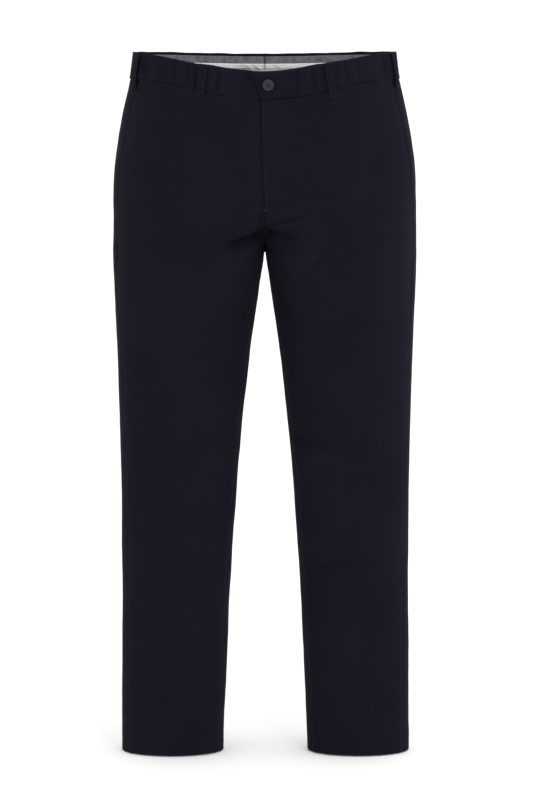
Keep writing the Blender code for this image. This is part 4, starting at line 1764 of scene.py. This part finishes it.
@dataclass
class BeltLoop:
    """Folded strap, tacked at both ends, that stands off the waistband between them.

    top and bottom are its x at its ends; a side loop has None and its distance in front of the side
    seam.
    """

    name: str
    half: Half
    face: Face
    top: float | None
    bottom: float

    width: float = 12.0
    wall: float = 1.5
    below_band: float = 15.0
    rise_over: float = 5.0
    bow: float = 3.0
    crown: float = 0.25
    tack_share: float = 0.07
    tack_sink: float = 0.3
    rub: float = 0.7
    rub_share: float = 0.12

    def span(self) -> tuple[float, float]:
        """Heights of the strap's ends."""
        line = np.interp(self.half.value * (self.top or 190.0), *TOP_LINE) * (self.face is Face.FRONT)
        return BAND_BOTTOM_Z - self.below_band, BAND_TOP - SEAM_GAP + float(line)

    def frame_at(self, height: Array, share: Array) -> tuple[Array, Array]:
        """Places on the strap.

        Args:
            height: heights on the strap.
            share: places across it, from -1 to 1.

        Returns:
            Angles, and how far the strap's outer face stands off the surface.
        """
        fig = FIGURE
        low, high = self.span()
        up = (height - low) / (high - low)
        across = self.width / 2 * share
        if self.top is None:
            angle = fig.beside(fig.side_seam(height), height, self.bottom + across)
        else:
            x = self.bottom + (self.top - self.bottom) * up
            angle = self.face.value * fig.angle_at(x - across, height)
        on_band = ease((height - BAND_BOTTOM_Z + self.rise_over) / self.rise_over)
        tack = near(up, self.tack_share) + near(1 - up, self.tack_share)
        bow = self.bow * np.sin(np.pi * np.clip(up, 0, 1)) ** 0.7
        return angle, SEAM_GAP + self.wall + BAND_PROUD * on_band + bow - self.tack_sink * tack

    def path(self, height: Array | float, share: Array | float, lift: float) -> Run:
        """Path over the strap's outer face, for sewing.

        Args:
            height: heights on the strap.
            share: places across it, from -1 to 1.
            lift: how far the path stands off.

        Returns:
            The path.
        """
        height, share = floats(height, share)
        angle, outer = self.frame_at(height, share)
        return FIGURE.path(self.half, angle, height, outer + lift)

    def build(self, finishes: Finishes) -> bpy.types.Object:
        """Makes the strap.

        Args:
            finishes: the materials.

        Returns:
            The strap's piece.
        """
        low, high = self.span()
        ends = np.array([0.0, 0.25, 0.7, 1.4])
        height = np.concatenate([low + ends, np.linspace(low + 2.5, high - 2.5, 22), high - ends[::-1]])
        width, depth = rounded(-self.width / 2, self.width / 2, 0.0, -self.wall, 1.6, 0.8).T
        rows, across = floats(height[:, None], width / (self.width / 2))
        angle, outer = self.frame_at(rows, across)
        full = rounding(np.minimum(rows - low, high - rows), 1.0, 0.04)
        rise = outer + self.crown * (1 - across**2) - self.wall / 2 + (depth + self.wall / 2) * full
        points = FIGURE.skin(self.half, angle, rows, rise)
        flat = np.stack(np.broadcast_arrays(np.append(width, width[0]), height[:, None]), axis=-1)
        masks = {WEAR_AND_HIGHLIGHT: self.rub * near(1 - np.abs(across), self.rub_share)}
        return weave(self.name, points, flat, masks, finishes.navy, wrap=True)


LOOPS = (
    BeltLoop("belt_loop_front_left", Half.LEFT, Face.FRONT, 94.5, 101.0),
    BeltLoop("belt_loop_front_right", Half.RIGHT, Face.FRONT, 90.5, 96.0),
    BeltLoop("belt_loop_side_left", Half.LEFT, Face.FRONT, None, 0.0),
    BeltLoop("belt_loop_side_right", Half.RIGHT, Face.FRONT, None, 6.0),
    BeltLoop("belt_loop_back_left", Half.LEFT, Face.BACK, 108.0, 108.0),
    BeltLoop("belt_loop_back_right", Half.RIGHT, Face.BACK, 108.0, 108.0),
    BeltLoop("belt_loop_back_centre", Half.LEFT, Face.BACK, 0.0, 0.0),
)


# ---- Button ----


@dataclass
class Button:
    """Turned resin button with a raised rim and four holes, and the thread that holds it.

    profile is (radius, rise) from the middle of its back round the rim to the middle of its face,
    and strand (share of a hole's distance, rise) along a thread to the opposite hole.
    """

    x: float = 5.3
    seat: float = 0.45
    hole_radius: float = 0.95
    hole_spread: float = 2.3
    sides: int = 72
    strand_radius: float = 0.26
    strand_shift: float = 0.2
    crossing_lift: float = 0.3

    profile: Points = (
        (0.0, 0.15), (5.6, 0.1), (6.8, 0.2), (7.6, 0.45), (8.25, 0.9), (8.62, 1.4), (8.75, 1.8),
        (8.66, 2.25), (8.4, 2.6), (8.0, 2.85), (7.55, 2.95), (7.1, 2.9), (6.7, 2.7), (6.3, 2.3),
        (5.9, 1.95), (5.5, 1.85), (5.1, 1.95), (4.6, 2.15), (4.1, 2.1), (3.7, 1.75), (3.4, 1.35),
        (3.0, 1.15), (2.0, 1.1), (0.0, 1.1),
    )
    strand: Points = (
        (1.0, -0.6), (0.95, 0.8), (0.7, 1.3), (0.0, 1.5), (-0.7, 1.3), (-0.95, 0.8), (-1.0, -0.6),
    )

    def __post_init__(self) -> None:
        """Finds the button's seat and the directions across, up and outward."""
        angle, lift = FIGURE.angle_at(self.x, 0.0), BAND_PROUD + LAP_LIFT
        self.middle, tip = (
            Vector(FIGURE.skin(Half.LEFT, angle, 0.0, lift + rise)) for rise in (self.seat, 8.75)
        )
        self.out = (tip - self.middle).normalized()
        self.across = Vector((0, 0, 1)).cross(self.out).normalized()
        self.up = self.out.cross(self.across)

    def _at(self, x: float, y: float, rise: float) -> Vector:
        """Point over the button's seat, in metres."""
        return (self.middle + self.across * x + self.up * y + self.out * rise) * MM

    def _disc(self, holes: Points) -> bpy.types.Mesh:
        """The turned disc with its holes drilled.

        Args:
            holes: (x, y) of the holes.

        Returns:
            The disc's mesh.
        """
        rings = [[
            self._at(radius * math.cos(turn), radius * math.sin(turn), rise)
            for turn in turns(self.sides if radius else 1)
        ] for radius, rise in self.profile]
        blank = link("button_blank", ring_mesh("button", rings))
        drills = [
            link(f"drill_{i}", tube("drill", [self._at(x, y, -3), self._at(x, y, 6)], self.hole_radius, 20))
            for i, (x, y) in enumerate(holes)
        ]
        for drill in drills:
            hole = blank.modifiers.new(drill.name, "BOOLEAN")
            hole.operation = "DIFFERENCE"
            hole.object = drill
        disc = finished(blank)
        for drill in drills:
            bpy.data.objects.remove(drill)
        disc.shade_smooth()
        disc.set_sharp_from_angle(angle=math.radians(50))
        return disc

    def _thread(self, holes: Points) -> bpy.types.Mesh:
        """Crossed strands through the holes, and the shank behind.

        Args:
            holes: (x, y) of the holes.

        Returns:
            The thread's mesh.
        """
        parts = [
            tube("strand", [
                self._at(share * x + shift, share * y, rise + lift * (share == 0))
                for share, rise in self.strand
            ], self.strand_radius, 8)
            for (x, y), lift in zip(holes, (0.0, self.crossing_lift))
            for shift in (-self.strand_shift, self.strand_shift)
        ]
        parts.append(tube("shank", [self._at(0, 0, -0.9), self._at(0, 0, 0.3)], 2.0, 12))
        joined = bmesh.new()
        for part in parts:
            joined.from_mesh(part)
        thread = bpy.data.meshes.new("button_thread")
        joined.to_mesh(thread)
        joined.free()
        thread.shade_smooth()
        return thread

    def build(self, finishes: Finishes) -> None:
        """Makes the button and its thread.

        Args:
            finishes: the materials.
        """
        ways = [math.pi / 4 + turn for turn in turns(4)]
        holes = [(self.hole_spread * math.cos(way), self.hole_spread * math.sin(way)) for way in ways]
        add_piece("button_resin", self._disc(holes), finishes.resin, "button")
        add_piece("button_thread", self._thread(holes), finishes.button_thread)


# ---- Sewing ----


@dataclass(frozen=True)
class Stitch:
    """A kind of stitch: length, spacing along the line, thickness, and turn to the line."""

    length: float
    pitch: float
    thickness: float
    turn: float = 0.0


RUNNING = Stitch(length=2.3, pitch=2.75, thickness=0.42)
EDGING = Stitch(length=1.9, pitch=2.4, thickness=0.36)
TACK = Stitch(length=2.0, pitch=0.42, thickness=0.38, turn=math.pi / 2)
BUTTONHOLE = Stitch(length=1.5, pitch=0.40, thickness=0.34, turn=math.pi / 2)


class Sewing:
    """Lines of stitches, laid along paths on the cloth by a Geometry Nodes tree."""

    def __init__(self) -> None:
        """Builds the tree."""
        self.tree = self._tree()

    @staticmethod
    def _tree() -> bpy.types.NodeTree:
        """Tree that lays stitches along a mesh of edges.

        Returns:
            The tree, with inputs for a stitch's sizes and its material.
        """
        tree = bpy.data.node_groups.new("stitch_line", "GeometryNodeTree")
        kinds = {"Geometry": "Geometry", "Finish": "Material"}
        for name in ("Geometry", "Length", "Pitch", "Thickness", "Turn", "Finish"):
            kind = f"NodeSocket{kinds.get(name, 'Float')}"
            tree.interface.new_socket(name, in_out="INPUT", socket_type=kind)
        tree.interface.new_socket("Geometry", in_out="OUTPUT", socket_type="NodeSocketGeometry")
        put = Nodes(tree).put
        start = put("NodeGroupInput").outputs
        line = put("GeometryNodeMeshToCurve", {0: start["Geometry"]}).outputs[0]
        spaced = put("GeometryNodeResampleCurve", {"Curve": line, "Length": start["Pitch"]}, mode="LENGTH")
        ball = put("GeometryNodeMeshUVSphere", {"Segments": 8, "Rings": 5, "Radius": 0.5})
        size = put(
            "ShaderNodeCombineXYZ", {0: start["Length"], 1: start["Thickness"], 2: start["Thickness"]}
        )
        facing = put("GeometryNodeInputNamedAttribute", {"Name": FACING}, data_type="FLOAT_VECTOR")
        tangent = put("GeometryNodeInputTangent").outputs[0]
        align = "FunctionNodeAlignRotationToVector"
        lengthwise = put(align, {"Vector": tangent}, axis="X", pivot_axis="AUTO")
        upright = put(
            align, {"Rotation": lengthwise.outputs[0], "Vector": facing.outputs[0]}, axis="Z", pivot_axis="X"
        )
        spin = put("FunctionNodeAxisAngleToRotation", {"Axis": (0, 0, 1), "Angle": start["Turn"]})
        turned = put(
            "FunctionNodeRotateRotation",
            {"Rotation": upright.outputs[0], "Rotate By": spin.outputs[0]}, rotation_space="LOCAL",
        )
        laid = put("GeometryNodeInstanceOnPoints", {
            "Points": spaced.outputs[0], "Instance": ball.outputs[0], "Rotation": turned.outputs[0],
            "Scale": size.outputs[0],
        })
        real = put("GeometryNodeRealizeInstances", {0: laid.outputs[0]})
        smooth = put("GeometryNodeSetShadeSmooth", {0: real.outputs[0]})
        dyed = put("GeometryNodeSetMaterial", {"Geometry": smooth.outputs[0], "Material": start["Finish"]})
        put("NodeGroupOutput", {0: dyed.outputs[0]})
        return tree

    def sew(self, name: str, runs: Sequence[Run], stitch: Stitch, finish: bpy.types.Material) -> None:
        """Makes one piece of stitches along several paths.

        Args:
            name: the piece's name.
            runs: points in millimetres and outward directions of each path.
            stitch: the kind of stitch.
            finish: the thread's material.
        """
        points, normals, edges = [], [], []
        for path, facing in runs:
            first = len(points)
            points += (path * MM).tolist()
            normals += facing.tolist()
            edges += [(first + i, first + i + 1) for i in range(len(path) - 1)]
        mesh = bpy.data.meshes.new(f"{name}_path")
        mesh.from_pydata(points, edges, [])
        layer = mesh.attributes.new(FACING, "FLOAT_VECTOR", "POINT")
        layer.data.foreach_set("vector", np.array(normals, dtype=np.float32).ravel())
        guide = link(f"{name}_path", mesh)
        modifier = guide.modifiers.new("stitches", "NODES")
        modifier.node_group = self.tree
        values = {
            "Length": stitch.length * MM, "Pitch": stitch.pitch * MM, "Thickness": stitch.thickness * MM,
            "Turn": stitch.turn, "Finish": finish,
        }
        for item in self.tree.interface.items_tree:
            if item.in_out == "INPUT" and item.name in values:
                modifier[item.identifier] = values[item.name]
        add_piece(name, finished(guide), finish)


@dataclass
class Stitching:
    """All the sewing that shows.

    pocket_row is the row beside a pocket: its ends' heights, step, inset and rise.
    """

    fly_tack: Points = ((-1.0, -217.0), (5.5, -218.5))
    pocket_row: tuple[float, ...] = (BAND_BOTTOM_Z - 2.0, POCKET_BOTTOM_Z + 2.0, -3.0, 6.0, 0.08)
    pocket_tack_tops: tuple[float, float] = (BAND_BOTTOM_Z - 10.0, POCKET_BOTTOM_Z + 12.0)
    pocket_tack_inset: float = 1.2
    pocket_tack_length: float = 8.5
    loop_tack_reach: float = 0.86
    loop_tack_ends: tuple[float, float] = (2.0, 2.2)
    loop_tack_lift: float = 0.18
    loop_edge_share: float = 0.62
    loop_edge_margin: float = 3.5
    loop_edge_lift: float = 0.12
    buttonhole: tuple[float, float] = (-8.0, 6.0)
    buttonhole_lip: float = 0.85

    def build(self, finishes: Finishes) -> None:
        """Makes every piece of sewing.

        Args:
            finishes: the materials.
        """
        sew = Sewing().sew
        sew("fly_stitching", [self._on_front(FLY_LINE, 2.0)], RUNNING, finishes.thread)
        sew("fly_tack", [self._on_front(self.fly_tack, 0.5)], TACK, finishes.button_thread)
        sew("buttonhole_stitching", self._buttonhole(), BUTTONHOLE, finishes.thread)
        for half in Half:
            mouth = [self._beside_pocket(half, *self.pocket_row)]
            sew(f"pocket_stitching_{half.word}", mouth, RUNNING, finishes.thread)
            length, inset = self.pocket_tack_length, self.pocket_tack_inset
            ends = [
                self._beside_pocket(half, top, top - length, -1.0, inset, 0.15)
                for top in self.pocket_tack_tops
            ]
            sew(f"pocket_tacks_{half.word}", ends, TACK, finishes.tack_thread)
        across = np.linspace(-self.loop_tack_reach, self.loop_tack_reach, 9)
        first, last = self.loop_tack_ends
        sides = -self.loop_edge_share, self.loop_edge_share
        tacks, edging = [], []
        for loop in LOOPS:
            low, high = loop.span()
            tacks += [loop.path(end, across, self.loop_tack_lift) for end in (low + first, high - last)]
            up = np.linspace(low + self.loop_edge_margin, high - self.loop_edge_margin, 24)
            edging += [loop.path(up, side, self.loop_edge_lift) for side in sides]
        sew("belt_loop_tacks", tacks, TACK, finishes.tack_thread)
        sew("belt_loop_edging", edging, EDGING, finishes.thread)

    @staticmethod
    def _on_front(knots: Points, step: float) -> Run:
        """Path on the left front.

        Args:
            knots: (x, z) points that it runs through.
            step: spacing of its points.

        Returns:
            The path.
        """
        x, z = curve_through(knots, step).T
        height = np.array([FIGURE.height_of(*spot, Face.FRONT) for spot in zip(x, z)])
        rise = FIGURE.fly_lift(Half.LEFT, x, height) - 0.3
        return FIGURE.path(Half.LEFT, FIGURE.angle_at(x, z), height, rise)

    @staticmethod
    def _beside_pocket(half: Half, top: float, bottom: float, step: float, inset: float, rise: float) -> Run:
        """Path down beside the pocket's mouth.

        Args:
            half: the half.
            top: height of its upper end.
            bottom: height where it ends.
            step: spacing of its points, downwards.
            inset: its distance from the pocket's edge.
            rise: how far it stands off the surface.

        Returns:
            The path.
        """
        height = np.arange(top, bottom, step)
        angle = FIGURE.beside(FIGURE.pocket_edge(height), height, inset)
        return FIGURE.path(half, angle, height, rise)

    def _buttonhole(self) -> list[Run]:
        """Both lips of the buttonhole, from near the waistband's end to under the button.

        Returns:
            The paths.
        """
        runs = []
        for lip in (-self.buttonhole_lip, self.buttonhole_lip):
            x, height = floats(np.linspace(*self.buttonhole, 15), lip)
            rise = BAND_PROUD + LAP_LIFT + 0.12
            runs.append(FIGURE.path(Half.LEFT, FIGURE.angle_at(x, height), height, rise))
        return runs


# ---- Studio ----


@dataclass
class Studio:
    """Plain pale stage, soft lights and the camera.

    Places are in metres, the pitch in degrees, the roll in radians, and focal and sensor in millimetres.
    """

    distance: float = 5.0
    camera_x: float = 0.0023
    camera_z: float = 0.020
    pitch: float = 6.14
    roll: float = -0.0012
    focal: float = 145.35
    sensor: float = 36.0
    floor_z: float = HEM_Z * MM - 0.0016
    floor_radius: float = 60.0
    floor_sides: int = 64
    floor_glow: float = 0.1
    sky_strength: float = 1.12
    aim: tuple[float, float, float] = (0, 0, -0.5)
    lights: tuple[tuple[str, tuple[float, float, float], float, float], ...] = (
        ("key", (1.4, -3.4, 2.2), 1.4, 26.0),
        ("rim_right", (2.6, -0.4, 0.2), 1.6, 13.0),
    )

    def build(self) -> None:
        """Sets up stage, lights and camera."""
        self._stage()
        self._lights()
        self._camera()

    def _stage(self) -> None:
        """Wide flat floor."""
        rim = circle(
            Vector((0, 0, self.floor_z)), Vector((1, 0, 0)), Vector((0, 1, 0)), self.floor_radius,
            self.floor_sides,
        )
        mesh = bpy.data.meshes.new("stage")
        mesh.from_pydata(rim, [], [list(range(self.floor_sides))])
        paper, nodes, shader = new_material("white_paper")
        nodes.feed(shader, {
            "Base Color": (0.93, 0.93, 0.93), "Roughness": 0.9, "Specular IOR Level": 0.1,
            "Emission Color": (1.0, 1.0, 1.0), "Emission Strength": self.floor_glow,
        })
        mesh.materials.append(paper)
        link("stage", mesh)

    def _lights(self) -> None:
        """Soft light from all round, with a stronger side light on the viewer's right."""
        world = bpy.data.worlds.new("world")
        world.use_nodes = True
        nodes = Nodes(world.node_tree)
        nodes.feed(nodes.tree.nodes["Background"], {"Color": (1.0, 1.0, 1.0), "Strength": self.sky_strength})
        bpy.context.scene.world = world
        for name, place, size, power in self.lights:
            data = bpy.data.lights.new(name, "AREA")
            data.shape, data.size, data.energy = "SQUARE", size, power
            light = link(name, data)
            light.location = place
            light.visible_camera = False
            light.rotation_euler = (Vector(self.aim) - Vector(place)).to_track_quat("-Z", "Y").to_euler()

    def _camera(self) -> None:
        """Camera at the photo's viewing angle."""
        data = bpy.data.cameras.new("camera")
        data.lens, data.sensor_width = self.focal, self.sensor
        camera = link("camera", data)
        camera.location = (self.camera_x, -self.distance, self.camera_z)
        tilt = Matrix.Rotation(math.radians(90 - self.pitch), 3, "X") @ Matrix.Rotation(self.roll, 3, "Z")
        camera.rotation_euler = tilt.to_euler()
        bpy.context.scene.camera = camera
        bpy.context.scene.view_settings.view_transform = "Standard"


@dataclass(frozen=True)
class Cut:
    """Flat size in metres of a kind of piece, how it is held, and on what; node lacks its half."""

    node: str
    width: float
    length: float
    area: float
    held: str
    on: str = "waistband"

    def declare(self, pieces: dict[str, bpy.types.Object], ending: str, *halves: Half) -> None:
        """Looks up the pieces of those halves that hold this kind of piece."""
        [pieces[f"{self.on}_{half.word}"] for half in halves]


CUTS = (
    Cut("front", 0.335, 1.12, 0.25, "hung"),
    Cut("back", 0.45, 1.12, 0.37, "hung"),
    Cut("pocket_facing", 0.036, 0.184, 0.0049, "hung"),
    Cut("waistband", 0.55, 0.04, 0.022, "stretched", "back"),
    Cut("waist_facing", 0.54, 0.0115, 0.0061, "laid"),
    Cut("waist_piping", 0.54, 0.012, 0.0043, "laid"),
    Cut("waist_curtain", 0.54, 0.034, 0.018, "hung"),
    Cut("belt_loop_front", 0.012, 0.055, 0.00066, "laid"),
    Cut("belt_loop_side", 0.012, 0.055, 0.00066, "laid"),
    Cut("belt_loop_back", 0.012, 0.055, 0.00066, "laid"),
)


def main() -> None:
    """Builds the garment and its studio."""
    logging.basicConfig(level=logging.INFO, format="%(message)s")
    finishes = Finishes()
    pieces = {}
    for half in Half:
        panels = Panel(half, Face.FRONT, 92, 3 + half.value), Panel(half, Face.BACK, 104, 9 + half.value)
        for item in (*panels, PocketFacing(half)):
            pieces[item.name] = item.build(finishes)
    pieces |= Waist().build(finishes)
    for loop in LOOPS:
        pieces[loop.name] = loop.build(finishes)
    Button().build(finishes)
    Stitching().build(finishes)
    Studio().build()

    for cut in CUTS:
        for half in Half:
            cut.declare(pieces, half.word, half)
    CUTS[-1].declare(pieces, "centre", *Half)


if __name__ == "__main__":
    main()
